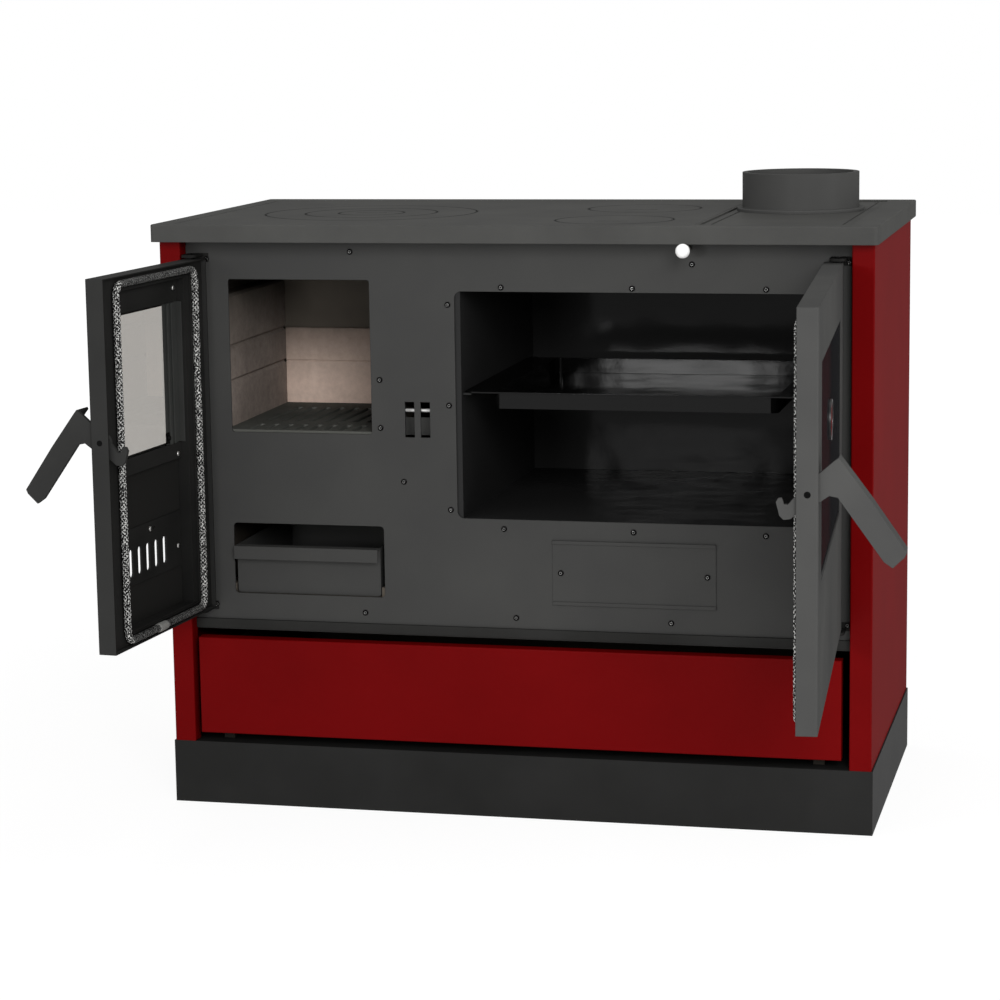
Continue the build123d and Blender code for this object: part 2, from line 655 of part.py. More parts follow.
def lever(x, side):
    """A lever handle cut from plate, with a folded flange along its grip.

    The outline is (y, z) about the pivot, for the closed door: the grip is in
    front of the door, at negative y, and the hook behind it. The flange points
    away from the free edge: side is -1 on the firebox door, 1 on the oven door.
    """
    def at_size(points):
        return [(y * LEVER_REACH, z * LEVER_REACH) for y, z in points]
    top, low = at_size([LEVER_NECK_TOP, LEVER_NECK_LOW])
    grip = at_size(LEVER_GRIP)
    hook = at_size(LEVER_HOOK)
    fold = at_size(LEVER_FOLD)
    plane = Plane(origin=(x - LEVER_T / 2, LEVER_Y, LEVER_Z), x_dir=(0, 1, 0), z_dir=(1, 0, 0))
    outline = make_face(Polyline(top, *grip, low, (0, -LEVER_BOSS_R), *hook, (0, LEVER_BOSS_R), top))
    outline += Circle(LEVER_BOSS_R)
    plate = extrude(plane * outline, LEVER_T)
    strip = extrude(plane * make_face(Polyline(*grip[1:5], *fold, grip[1])), LEVER_FLANGE)
    plate += Pos(-LEVER_FLANGE if side < 0 else LEVER_T, 0, 0) * strip
    return plate - rod_x(x - LEVER_T, x + LEVER_T, LEVER_Y, LEVER_Z, LEVER_PIN_R + PIVOT_PLAY)


def lever_pivot(inner, x, outer):
    """The lever's pin from the inner frame's wall to the door's return, and its bushes."""
    lo, hi = min(inner, outer), max(inner, outer)
    pin = rod_x(lo, hi, LEVER_Y, LEVER_Z, LEVER_PIN_R)
    wall = SHEET if inner < outer else DOOR_SHEET
    far = DOOR_SHEET if inner < outer else SHEET
    pieces = [pin]
    for a, b in ((lo + wall, x - LEVER_T / 2 - LID_SEAT), (x + LEVER_T / 2 + LID_SEAT, hi - far)):
        bush = rod_x(a, b, LEVER_Y, LEVER_Z, LEVER_PIN_R + BUSH_WALL)
        pieces.append(bush - rod_x(a - 1, b + 1, LEVER_Y, LEVER_Z, LEVER_PIN_R))
    return group(pieces)


def retainer(recess, glass, window):
    """A stepped bezel that clamps a window pane inside its recess."""
    def grown(rect, by):
        return rect[0] - by, rect[1] + by, rect[2] - by, rect[3] + by
    rx0, rx1, rz0, rz1 = recess
    gx0, gx1, gz0, gz1 = grown(glass, GLASS_PLAY)
    wx0, wx1, wz0, wz1 = window
    bezel = box(rx0, rx1, DOOR_SKIN, GLASS_Y + RETAINER_T, rz0, rz1)
    bezel -= box(gx0, gx1, DOOR_SKIN - 1, GLASS_Y, gz0, gz1)
    return bezel - box(wx0, wx1, DOOR_SKIN - 1, GLASS_Y + RETAINER_T + 1, wz0, wz1)


def make_left_door():
    """The firebox door, modelled closed and then swung open."""
    x0, x1 = LEFT_DOOR
    wx0 = LEFT + LEFT_WINDOW_X
    window = (wx0, wx0 + LEFT_WINDOW_W, LEFT_WINDOW_Z, SLAB_Z - LEFT_WINDOW_TOP_GAP)
    recess = (LEFT + LEFT_RECESS_X, LEFT + LEFT_RECESS_X + LEFT_RECESS_W,
              LEFT_RECESS_Z, SLAB_Z - LEFT_RECESS_TOP_GAP)
    inner_edge = x1 - DOOR_SHEET - LEVER_BAY
    slots = [LEFT + AIR_FIRST_X + i * AIR_SPACING for i in range(AIR_SLOTS)]
    knob_x = slots[-1] + AIR_SPACING
    knob_z = AIR_Z + AIR_SLOT_H / 2

    shell = door_shell(x0, x1, window, LEFT_LEVER)
    for x in slots:
        shell -= prism_y(x - AIR_SLOT_W / 2, x + AIR_SLOT_W / 2, AIR_Z, AIR_Z + AIR_SLOT_H,
                         DOOR_Y0 - 1, DOOR_SKIN + 1, AIR_SLOT_W * 0.45)
    shell -= prism_y(knob_x - KNOB_SLOT_HALF, knob_x + SLIDER_TRAVEL + KNOB_SLOT_HALF,
                     knob_z - KNOB_SLOT_HALF, knob_z + KNOB_SLOT_HALF,
                     DOOR_Y0 - 1, DOOR_SKIN + 1, KNOB_SLOT_CORNER)
    frame = inner_frame(x0 + DOOR_SHEET + FRAME_EDGE_GAP, inner_edge, recess, LEFT_LEVER)
    save("left_door_shell", left_open(shell))
    save("left_door_inner_frame", left_open(frame))
    save("left_door_gasket", left_open(rope(LEFT + LEFT_ROPE_X, LEFT + LEFT_ROPE_X + LEFT_ROPE_W,
                                            ROPE_Z, SLAB_Z - LEFT_ROPE_TOP_GAP)))

    rx0, rx1, rz0, rz1 = recess
    gx0, gx1 = rx0 + LEFT_PANE_PLAY, rx1 - LEFT_PANE_PLAY
    gz0, gz1 = window[2] - GLASS_LAP, window[3] + GLASS_LAP
    glass = box(gx0, gx1, DOOR_SKIN, GLASS_Y, gz0, gz1)
    save("left_door_glass", left_open(glass))
    low = box(rx0, rx1, DOOR_SKIN, GLASS_Y + RETAINER_T, gz0 - BAR_DROP, window[2])
    low -= box(rx0 - 1, rx1 + 1, DOOR_SKIN - 1, GLASS_Y, gz0 - GLASS_PLAY, window[2] + 1)
    high = box(rx0, rx1, DOOR_SKIN, GLASS_Y + RETAINER_T, window[3], rz1)
    high -= box(rx0 - 1, rx1 + 1, DOOR_SKIN - 1, GLASS_Y, window[3] - 1, gz1 + GLASS_PLAY)
    bar_screws = [(x, z) for z in (gz0 - BAR_SCREW_LOW, gz1 + BAR_SCREW_HIGH)
                  for x in (rx0 + BAR_SCREW_IN, rx1 - BAR_SCREW_IN)]
    for hole in screw_holes(bar_screws, DOOR_SKIN - 1, GLASS_Y + RETAINER_T + 1):
        low -= hole
        high -= hole
    save("left_glass_retainers", left_open(group([low, high])))

    sx0 = rx0 + SLIDER_MARGIN
    sx1 = rx1 - SLIDER_TRAVEL - SLIDER_MARGIN
    guides = [(sx0 + GUIDE_IN, knob_z - GUIDE_DROP),
              ((sx0 + sx1) / 2 + GUIDE_SHIFT, AIR_Z + AIR_SLOT_H + GUIDE_RISE)]
    slider = box(sx0, sx1, DOOR_SKIN + LID_SEAT, DOOR_SKIN + LID_SEAT + SLIDER_T,
                 AIR_Z - SLIDER_DROP, AIR_Z - SLIDER_DROP + SLIDER_H)
    for x in slots:
        slider -= prism_y(x - AIR_SLOT_W / 2, x + AIR_SLOT_W / 2, AIR_Z, AIR_Z + AIR_SLOT_H,
                          DOOR_SKIN - 1, DOOR_SKIN + 4, AIR_SLOT_W * 0.45)
    for x, z in guides:
        long, tall = SCREW_R + GUIDE_END_PLAY, SCREW_R + GUIDE_PLAY
        slider -= prism_y(x - SLIDER_TRAVEL - long, x + long, z - tall, z + tall,
                          DOOR_SKIN - 1, DOOR_SKIN + 4, GUIDE_CORNER)
    knob_back = DOOR_Y0 - SLIDER_KNOB_GAP
    slider += rod_y(knob_x, DOOR_Y0 - 1, DOOR_SKIN + LID_SEAT, knob_z, SLIDER_STEM_R)
    slider += rod_y(knob_x, knob_back - SLIDER_KNOB_L, knob_back, knob_z, SLIDER_KNOB_R)
    save("air_slider", left_open(slider))
    screws = [screw_back(x, z, GLASS_Y + RETAINER_T, GLASS_T + RETAINER_T) for x, z in bar_screws]
    screws += [screw_back(x, z, DOOR_SKIN + 2 * LID_SEAT + SLIDER_T, 2 * LID_SEAT + SLIDER_T)
               for x, z in guides]
    save("left_door_screws", left_open(group(screws)))
    save("left_door_hinge_pins", left_open(hinge_pins(LEFT_PIVOT)))
    save("left_handle", left_open(lever(LEFT_LEVER, -1)))
    save("left_handle_pivot", left_open(lever_pivot(inner_edge - SHEET, LEFT_LEVER, x1)))


def make_right_door():
    """The oven door with its thermometer, modelled closed and then swung open."""
    x0, x1 = RIGHT_DOOR
    wx0 = LEFT + RIGHT_WINDOW_X
    window = (wx0, RIGHT - RIGHT_WINDOW_SIDE_GAP, RIGHT_WINDOW_Z, SLAB_Z - RIGHT_WINDOW_TOP_GAP)
    recess = (window[0] - RECESS_MARGIN, window[1] + RECESS_MARGIN,
              window[2] - RECESS_MARGIN, window[3] + RECESS_MARGIN)
    lap = RECESS_MARGIN - PANE_CLEARANCE
    pane = (window[0] - lap, window[1] + lap, window[2] - lap, window[3] + lap)
    inner_edge = x0 + DOOR_SHEET + LEVER_BAY
    dial_x = (window[0] + window[1]) / 2
    dial_z = (window[2] + window[3]) / 2 + DIAL_RISE

    save("right_door_shell", right_open(door_shell(x0, x1, window, RIGHT_LEVER)))
    save("right_door_inner_panel",
         right_open(inner_frame(inner_edge, x1 - DOOR_SHEET - FRAME_EDGE_GAP, recess, RIGHT_LEVER)))
    save("right_door_gasket", right_open(rope(LEFT + RIGHT_ROPE_X, RIGHT - RIGHT_ROPE_SIDE_GAP,
                                              ROPE_Z, SLAB_Z - RIGHT_ROPE_TOP_GAP)))
    glass = box(pane[0], pane[1], DOOR_SKIN, GLASS_Y, pane[2], pane[3])
    glass -= rod_y(dial_x, DOOR_SKIN - 1, GLASS_Y + 1, dial_z, DIAL_R + DIAL_PLAY)
    save("right_door_glass", right_open(glass))
    bezel = retainer(recess, pane, window)
    edge = RECESS_MARGIN - lap
    places = [(x, z) for x in (recess[0] + edge / 2 + 0.2, dial_x, recess[1] - edge / 2 - 0.2)
              for z in (recess[2] + edge / 2, recess[3] - edge / 2)]
    for hole in screw_holes(places, DOOR_SKIN - 1, GLASS_Y + RETAINER_T + 1):
        bezel -= hole
    save("right_glass_retainer", right_open(bezel))
    screws = [screw_back(x, z, GLASS_Y + RETAINER_T, GLASS_T + RETAINER_T) for x, z in places]
    save("right_door_screws", right_open(group(screws)))
    save("right_door_hinge_pins", right_open(hinge_pins(RIGHT_PIVOT)))
    save("right_handle", right_open(lever(RIGHT_LEVER, 1)))
    save("right_handle_pivot", right_open(lever_pivot(inner_edge + SHEET, RIGHT_LEVER, x0)))

    front = DOOR_Y0 - DIAL_PROUD
    back = front + DIAL_H
    face = back - DIAL_BACK_T
    seat = face - DIAL_BACK_T
    case = rod_y(dial_x, front, back, dial_z, DIAL_R)
    case += rod_y(dial_x, GLASS_Y, GLASS_Y + DIAL_FLANGE_T, dial_z, DIAL_R + DIAL_FLANGE_W)
    case += rod_y(dial_x, back, FRAME_Y, dial_z, DIAL_STEM_R)
    case += rod_y(dial_x, back, back + DIAL_NUT_T, dial_z, DIAL_NUT_R)
    case -= rod_y(dial_x, front - 1, seat, dial_z, DIAL_R - DIAL_WALL)
    case += rod_y(dial_x, seat - SPINDLE_L, seat, dial_z, SPINDLE_R)
    save("thermometer_body", right_open(case))
    dial = rod_y(dial_x, seat - DIAL_T, seat, dial_z, DIAL_R - DIAL_WALL)
    save("thermometer_dial", right_open(dial - rod_y(dial_x, face - 3, face, dial_z, DIAL_HOLE_R)))
    hub = rod_y(dial_x, face - HUB_Y[0], face - HUB_Y[1], dial_z, HUB_R)
    arm = box(dial_x - NEEDLE_HALF, dial_x + NEEDLE_HALF, face - NEEDLE_Y[0], face - NEEDLE_Y[1],
              dial_z - NEEDLE_TAIL, dial_z + NEEDLE_L)
    needle = (hub + arm) - rod_y(dial_x, face - 6, face, dial_z, HUB_BORE_R)
    needle = needle.rotate(Axis((dial_x, 0, dial_z), (0, 1, 0)), NEEDLE_COLD)
    save("thermometer_needle", right_open(needle))
    cover = rod_y(dial_x, front + COVER_Y[0], front + COVER_Y[1], dial_z, DIAL_R - DIAL_WALL)
    save("thermometer_glass", right_open(cover))


def make_firebox():
    """The brick-lined firebox, its grate and the ash drawer below."""
    ix0 = LEFT + FIRE_INNER_X
    ix1 = ix0 + FIRE_INNER_W
    iy1 = FASCIA_BACK + FIRE_INNER_D
    cx0, cx1 = ix0 - BRICK_T - CASING_T, ix1 + BRICK_T + CASING_T
    cy1 = iy1 + BRICK_T + CASING_T
    wall0, wall1 = cx0 + CASING_T, cx1 - CASING_T
    casing = box(cx0, cx1, FASCIA_BACK, cy1, LEDGE_Z, CASING_TOP)
    casing -= box(wall0, wall1, FASCIA_BACK - 1, cy1 - CASING_T, ASH_Z, CASING_TOP + 1)
    casing -= box(wall0, wall1, FASCIA_BACK - 1, cy1 - CASING_T, LEDGE_Z - 1, ASH_Z - CASING_T)
    ax0 = ASH_X0 + ASH_DRAWER_SIDE
    ax1 = ax0 + ASH_DRAWER_W
    for x in (ax0 - ASH_SETBACK - ASH_RAIL_W, ax1 + ASH_SETBACK):
        casing += box(x, x + ASH_RAIL_W, FASCIA_BACK, FASCIA_BACK + ASH_DRAWER_D,
                      ASH_Z, ASH_Z + ASH_RAIL_H)
    liner = iy1 + BRICK_T / 4
    casing += box(ix0 - BRICK_T, ix1 + BRICK_T, liner, liner + CASING_T, BRICK_TOPS[1], CASING_TOP)
    save("firebox_casing", casing)

    shelf = box(wall0, wall1, FASCIA_BACK, cy1 - CASING_T, SHELF_Z, SHELF_TOP)
    shelf -= box(ix0 + SHELF_LEDGE, ix1 - SHELF_LEDGE, FASCIA_BACK + SHELF_LEDGE,
                 iy1 - SHELF_REAR_LEDGE, SHELF_Z - 1, SHELF_TOP + 1)
    save("grate_frame", shelf)

    gx0, gx1 = ix0 + GRATE_PLAY, ix1 - GRATE_PLAY
    gy0, gy1 = FASCIA_BACK + GRATE_PLAY, iy1 - GRATE_PLAY
    gz = SHELF_TOP + DRAWER_PLAY
    grate = box(gx0, gx1, gy0, gy1, gz, gz + GRATE_T)
    count = int((gx1 - gx0 - 2 * GRATE_BORDER) / GRATE_PITCH)
    start = (gx0 + gx1) / 2 - GRATE_PITCH * (count - 1) / 2
    for i in range(count):
        x = start + i * GRATE_PITCH
        for row0, row1 in GRATE_ROWS:
            turn = Pos(x, gy0 + (row0 + row1) / 2, gz + GRATE_T / 2) * Rot(0, 0, GRATE_SLOT_SLANT)
            slot = SlotOverall(row1 - row0, GRATE_SLOT_W, rotation=90)
            grate -= turn * extrude(slot, GRATE_T, both=True)
    save("grate", grate)

    side, rear = [], []
    z0 = SHELF_TOP
    for z1 in BRICK_TOPS:
        block = box(ix0 - BRICK_T, ix0, FASCIA_BACK, iy1, z0, z1)
        side.append(chamfer(block.edges().filter_by(Axis.Y).sort_by(Axis.X)[2:], BRICK_SIDE_EDGE))
        if z1 != BRICK_TOPS[2]:
            block = box(ix0, ix1, iy1, iy1 + BRICK_T, z0, z1)
            rear.append(chamfer(block.edges().filter_by(Axis.X).sort_by(Axis.Y)[:2], BRICK_EDGE))
        z0 = z1
    save("left_bricks", group(side))
    middle = Plane(origin=((ix0 + ix1) / 2, 0, 0), x_dir=(0, 1, 0), z_dir=(1, 0, 0))
    save("right_bricks", group([piece.mirror(middle) for piece in side]))
    save("rear_bricks", group(rear))

    ay0 = FASCIA_BACK + ASH_SETBACK
    ay1 = ay0 + ASH_DRAWER_D
    az0 = ASH_Z + DRAWER_PLAY
    az1 = az0 + ASH_DRAWER_H
    lip_y = ay0 - ASH_LIP_D
    drawer = box(ax0, ax1, ay0, ay1, az0, az1)
    drawer = fillet(drawer.edges().filter_by(Axis.Y).sort_by(Axis.Z)[:2], ASH_DRAWER_CORNER)
    drawer -= prism_y(ax0 + ASH_SHEET, ax1 - ASH_SHEET, az0 + ASH_SHEET, az1 + ASH_DRAWER_CORNER,
                      ay0 + ASH_SHEET, ay1 - ASH_SHEET, ASH_DRAWER_CORNER - ASH_SHEET)
    drawer += box(ax0, ax1, lip_y, ay0, az1 - ASH_SHEET, az1)
    drawer += box(ax0, ax1, lip_y, lip_y + ASH_SHEET, az1 - ASH_LIP_H, az1)
    save("ash_drawer", drawer)


def make_oven():
    """The enamelled oven box, its rails and the baking tray."""
    x0, x1 = OVEN_X0 + OVEN_WALL_INSET, OVEN_X1 - OVEN_WALL_INSET
    y1 = FASCIA_BACK + OVEN_DEPTH
    oven = box(x0 - SHEET, x1 + SHEET, FASCIA_BACK, y1 + SHEET, OVEN_Z - SHEET, OVEN_Z1 + SHEET)
    oven += box(OVEN_X0 - OVEN_FLANGE, OVEN_X1 + OVEN_FLANGE, FASCIA_BACK, FASCIA_BACK + SHEET,
                OVEN_Z - OVEN_FLANGE, OVEN_Z1 + OVEN_FLANGE)
    oven -= box(x0, x1, FASCIA_BACK - 1, y1, OVEN_Z, OVEN_Z1)
    for hole in screw_holes(OVEN_SCREWS, FASCIA_BACK - 1, FASCIA_BACK + SHEET + 1):
        oven -= hole
    for x in (x0 + OVEN_FOOT_INSET, x1 - OVEN_FOOT_INSET - OVEN_FOOT):
        for y in (FASCIA_BACK + OVEN_FOOT_INSET, y1 - OVEN_FOOT_INSET - OVEN_FOOT):
            oven += box(x, x + OVEN_FOOT, y, y + OVEN_FOOT, LEDGE_Z, OVEN_Z - SHEET)
    save("oven_box", oven)
    rails = []
    for x in (x0, x1 - RAIL_W):
        rails.append(box(x, x + RAIL_W, FASCIA_BACK + RAIL_FRONT_GAP, y1 - RAIL_REAR_GAP,
                         RAIL_Z - RAIL_T, RAIL_Z))
    save("oven_rails", group(rails))

    tx0, tx1 = x0 + TRAY_PLAY, x1 - TRAY_PLAY
    ty0 = FRONT + TRAY_FRONT
    ty1 = ty0 + TRAY_D
    tz = RAIL_Z + DRAWER_PLAY
    rim = prism_z(tx0, tx1, ty0, ty1, tz, tz + TRAY_RIM_T, TRAY_RIM_CORNER)
    px0, px1 = tx0 + TRAY_SIDE, tx1 - TRAY_SIDE
    py0, py1 = ty0 + TRAY_EDGE, ty1 - TRAY_EDGE
    pan = prism_z(px0, px1, py0, py1, tz - TRAY_DEPTH, tz, TRAY_PAN_CORNER)
    tray = rim + pan
    tray -= prism_z(px0 + TRAY_SHEET, px1 - TRAY_SHEET, py0 + TRAY_SHEET, py1 - TRAY_SHEET,
                    tz - TRAY_DEPTH + TRAY_SHEET, tz + TRAY_RIM_T + 1, TRAY_PAN_CORNER - TRAY_SHEET)
    save("baking_tray", tray)


def round_lid(x, y, radius, hole_r):
    """A ring or lid that drops into a stepped hole, its underside on the ledge."""
    seat = BODY_H - LID_T + LID_SEAT
    lid = rod_z(x, y, seat, BODY_H, radius - LID_GAP)
    lid += rod_z(x, y, BODY_H - HOB_T, seat, radius - LID_LEDGE - LID_GAP)
    if hole_r > 0:
        lid -= rod_z(x, y, BODY_H - LID_T, BODY_H + 1, hole_r)
        lid -= rod_z(x, y, BODY_H - HOB_T - 1, BODY_H, hole_r - LID_LEDGE)
    return lid


def lifter_slot(x, y):
    """A blind slot for the lifting hook."""
    slot = Pos(x, y, BODY_H - LIFT_SLOT_DEEP)
    return slot * extrude(SlotOverall(LIFT_SLOT_L, LIFT_SLOT_W), LIFT_SLOT_DEEP + 1)


def make_hob():
    """The worktop frame, the cast hob plate and its lift-out rings and lids."""
    top = BODY_H
    fx1 = RIGHT - FLUE_SIDE_GAP
    fx0, fy0 = fx1 - FLUE_W, FRONT + FLUE_FRONT
    fy1 = fy0 + FLUE_D
    hx0, hy0 = LEFT + HOB_X, FRONT + HOB_FRONT
    hx1, hy1 = fx0 - HOB_FLUE_GAP, hy0 + HOB_D
    slab = prism_z(LEFT - SIDE_OVERHANG, RIGHT + SIDE_OVERHANG, FRONT - FRONT_OVERHANG,
                   BACK + REAR_OVERHANG, SLAB_Z, top, SLAB_CORNER)
    slab = fillet(slab.edges().group_by(Axis.Z)[-1], SLAB_EDGE)
    under = top - HOB_T
    for x0, x1, y0, y1 in ((hx0, hx1, hy0, hy1), (fx0, fx1, fy0, fy1)):
        slab -= box(x0, x1, y0, y1, under, top + 1)
        slab -= box(x0 + HOB_REBATE, x1 - HOB_REBATE, max(y0, FASCIA_BACK) + HOB_REBATE,
                    y1 - HOB_REBATE, SLAB_Z - 1, top)
    save("worktop_frame", slab)

    rx, ry = LEFT + RING_X, FRONT + RING_Y
    lx = hx1 - LID_X_GAP
    lids = [(rx, ry, RING_R), (lx, FRONT + FRONT_LID_Y, LID_R), (lx, FRONT + REAR_LID_Y, LID_R)]
    hob = box(hx0 + HOB_SEAM, hx1 - HOB_SEAM, hy0 + HOB_SEAM, hy1 - HOB_SEAM, under, top)
    hob = fillet(hob.edges().group_by(Axis.Z)[-1], HOB_EDGE)
    for x, y, radius in lids:
        hob -= rod_z(x, y, top - LID_T, top + 1, radius)
        hob -= rod_z(x, y, under - 1, top, radius - LID_LEDGE)
    save("hob_plate", hob)

    outer = round_lid(rx, ry, RING_R, INNER_RING_R)
    notch = Pos(0, 0, top - LID_T / 2)
    outer -= notch * Pos(rx + INNER_RING_R, ry, 0) * Cylinder(NOTCH_R, LID_T * NOTCH_DEEP)
    save("outer_ring", outer)
    inner = round_lid(rx, ry, INNER_RING_R, CENTRE_R)
    inner -= notch * Pos(rx + CENTRE_R, ry, 0) * Cylinder(NOTCH_R, LID_T * NOTCH_DEEP)
    save("inner_ring", inner)
    save("centre_lid", round_lid(rx, ry, CENTRE_R, 0) - lifter_slot(rx, ry))
    save("front_lid", round_lid(*lids[1], 0) - lifter_slot(lx, lids[1][1] - LIFT_SLOT_SHIFT))
    save("rear_lid", round_lid(*lids[2], 0) - lifter_slot(lx, lids[2][1] - LIFT_SLOT_SHIFT))

    cx, cy = RIGHT - COLLAR_X_GAP, FRONT + COLLAR_Y
    deck = top - FLUE_SUNK
    flue = box(fx0 + HOB_SEAM, fx1 - HOB_SEAM, fy0 + HOB_SEAM, fy1 - HOB_SEAM, under, deck)
    flue -= rod_z(cx, cy, under - 1, deck + 1, FLUE_HOLE_R)
    x0, x1, y0, y1 = fx0 + GROOVE_INSET, fx1 - GROOVE_INSET, fy0 + GROOVE_INSET, fy1 - GROOVE_INSET
    groove = box(x0, x1, y0, y1, deck - GROOVE_DEEP, deck + 1)
    groove -= box(x0 + GROOVE_W, x1 - GROOVE_W, y0 + GROOVE_W, y1 - GROOVE_W, deck - 2, deck + 2)
    flue -= groove - rod_z(cx, cy, deck - 2, deck + 2, COLLAR_FLANGE_R + 1)
    save("flue_plate", flue)
    collar = rod_z(cx, cy, deck, deck + COLLAR_FLANGE_T, COLLAR_FLANGE_R)
    collar = fillet(collar.edges().sort_by(Axis.Z)[-1], COLLAR_EDGE)
    collar += rod_z(cx, cy, deck, deck + COLLAR_H, COLLAR_R)
    collar -= rod_z(cx, cy, deck - 1, deck + COLLAR_H + 1, COLLAR_BORE_R)
    save("flue_collar", collar)


def make_damper():
    """The pull rod with its ceramic knob, the sliding plate and the port that it closes."""
    knob_y = FRONT + DAMPER_KNOB_Y
    y0 = FRONT + DAMPER_PLATE_Y
    y1 = y0 + DAMPER_PLATE_D
    z1 = DAMPER_Z - DAMPER_ROD_R
    z0 = z1 - DAMPER_PLATE_T
    x0, x1 = DAMPER_AT - DAMPER_PLATE_W / 2, DAMPER_AT + DAMPER_PLATE_W / 2
    knob = Pos(DAMPER_AT, knob_y, DAMPER_Z) * Sphere(DAMPER_KNOB_R)
    rod_y0 = knob_y + DAMPER_ROD_SUNK
    bore = rod_y(DAMPER_AT, rod_y0, knob_y + DAMPER_KNOB_BORE, DAMPER_Z, DAMPER_ROD_R)
    save("damper_knob", knob - bore)
    save("damper_rod", rod_y(DAMPER_AT, rod_y0, y1 - DAMPER_ROD_END, DAMPER_Z, DAMPER_ROD_R))
    save("damper_plate", box(x0, x1, y0, y1, z0, z1))

    seat = z0 - LID_SEAT
    lap = DAMPER_FRAME_LAP
    port = box(x0 + DAMPER_PORT_LAP, x1 - DAMPER_PORT_LAP, y1 - DAMPER_TRAVEL + lap, y1 - 2 * lap,
               seat - DAMPER_LEG_T - 1, seat + 1)
    frame = box(x0 - lap, x1 + lap, y0 - DAMPER_TRAVEL, y1 + lap, seat - DAMPER_LEG_T, seat) - port
    for x in (x0 - lap, x1 + lap - DAMPER_LEG_T):
        frame += box(x, x + DAMPER_LEG_T, y0 - DAMPER_TRAVEL, y1 + lap,
                     OVEN_Z1 + SHEET, z1 + DAMPER_LEG_RISE)
    save("damper_frame", frame)


def make_wood_drawer():
    """The drawer for firewood, its red front and the runners below it."""
    x0, x1 = LEFT + WOOD_X, RIGHT - WOOD_SIDE_GAP
    front = box(x0, x1, FRONT, FRONT + WOOD_FRONT_T, WOOD_Z, WOOD_Z + WOOD_H)
    front = fillet(front.edges().group_by(Axis.Y)[0], WOOD_FRONT_EDGE)
    save("wood_drawer_front", front)
    bx0, bx1 = x0 + WOOD_BOX_INSET, x1 - WOOD_BOX_INSET
    by0 = FRONT + WOOD_FRONT_T
    by1 = BACK - PANEL_T - SHEET - WOOD_BACK_GAP
    z0, z1 = WOOD_BOX_Z, WOOD_BOX_Z + WOOD_BOX_H
    drawer = box(bx0, bx1, by0, by1, z0, z1)
    drawer -= box(bx0 + SHEET, bx1 - SHEET, by0 + SHEET, by1 - SHEET, z0 + SHEET, z1 + 1)
    save("wood_drawer_box", drawer)
    runners = []
    for x in (bx0, bx1 - RUNNER_W):
        runners.append(box(x, x + RUNNER_W, FASCIA_BACK, by1, PLINTH_H, z0 - DRAWER_PLAY))
    save("drawer_runners", group(runners))


make_body()
make_hinge_lugs()
make_left_door()
make_right_door()
make_firebox()
make_oven()
make_hob()
make_damper()
make_wood_drawer()
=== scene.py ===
"""Looks of a wood cook stove: finishes for its sheet steel, castings, enamel and brick,
with the braided door ropes, the window strip and seals, the dial's marks, the screw
sockets and the rear screws added."""
import json
import math

import bmesh
import bpy
from mathutils import Matrix, Vector


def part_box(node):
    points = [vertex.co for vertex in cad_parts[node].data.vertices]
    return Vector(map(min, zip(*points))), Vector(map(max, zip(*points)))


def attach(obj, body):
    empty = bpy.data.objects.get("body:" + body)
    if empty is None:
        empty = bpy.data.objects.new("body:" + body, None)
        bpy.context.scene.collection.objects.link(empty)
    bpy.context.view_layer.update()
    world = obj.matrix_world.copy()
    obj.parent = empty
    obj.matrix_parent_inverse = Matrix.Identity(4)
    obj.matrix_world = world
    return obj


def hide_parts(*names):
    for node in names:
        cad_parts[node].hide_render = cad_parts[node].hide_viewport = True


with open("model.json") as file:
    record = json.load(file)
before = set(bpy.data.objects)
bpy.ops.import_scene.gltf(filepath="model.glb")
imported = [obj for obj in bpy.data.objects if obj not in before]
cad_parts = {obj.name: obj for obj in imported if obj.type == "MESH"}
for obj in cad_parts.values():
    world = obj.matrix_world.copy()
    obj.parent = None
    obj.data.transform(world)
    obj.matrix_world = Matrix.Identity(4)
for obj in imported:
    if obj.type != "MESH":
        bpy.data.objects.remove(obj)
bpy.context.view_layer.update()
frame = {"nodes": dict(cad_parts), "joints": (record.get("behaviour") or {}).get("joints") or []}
NODES = frame["nodes"]
JOINTS = {joint["name"]: joint for joint in frame["joints"]}

# Camera of the photograph: place in metres, turns in degrees, lens in millimetres
CAMERA_PLACE = (0.916185, -4.147049, 1.137965)
CAMERA_YAW = 13.461
CAMERA_PITCH = 9.591
CAMERA_ROLL = -0.83
CAMERA_LENS = 103.57
SENSOR_WIDTH = 36.0
CAMERA_REACH = 50.0

# Lamps: name, place, what it looks at, width and height, and power
LAMPS = (
    ("front_key", (1.7, -4.3, 2.1), (0.0, 0.0, 0.5), (1.6, 1.6), 108.0),
    ("left_fill", (-2.6, -3.4, 1.9), (0.0, 0.0, 0.45), (1.8, 1.8), 26.0),
    ("right_fill", (3.6, -1.2, 1.7), (0.3, 0.0, 0.45), (1.6, 2.2), 46.0),
    ("oven_glint", (-0.58, -4.25, 1.1), (0.17, 0.2, 0.6), (0.5, 0.28), 22.0),
    ("overhead", (0.0, 0.2, 3.4), (0.0, 0.0, 0.8), (2.6, 2.0), 36.0),
)
SOFT_LIGHT = 0.36

# Floor: its half width, its glow, and how the glow thins out near the stove
FLOOR_REACH = 12.0
FLOOR_GLOW = 1.05
GLOW_NEAR = 0.86
SHADOW_NEAR = 1.0
SHADOW_FAR = 2.6

# Door ropes, in metres
ROPE_STEP = 0.004
ROPE_SIDES = 20
ROPE_FULLNESS = 0.84
ROPE_BEND = 0.015
BEND_STEPS = 12
NEARLY_NOTHING = 1e-9
BRAID_PITCH = 0.0056
BRAID_STRANDS = 5.0

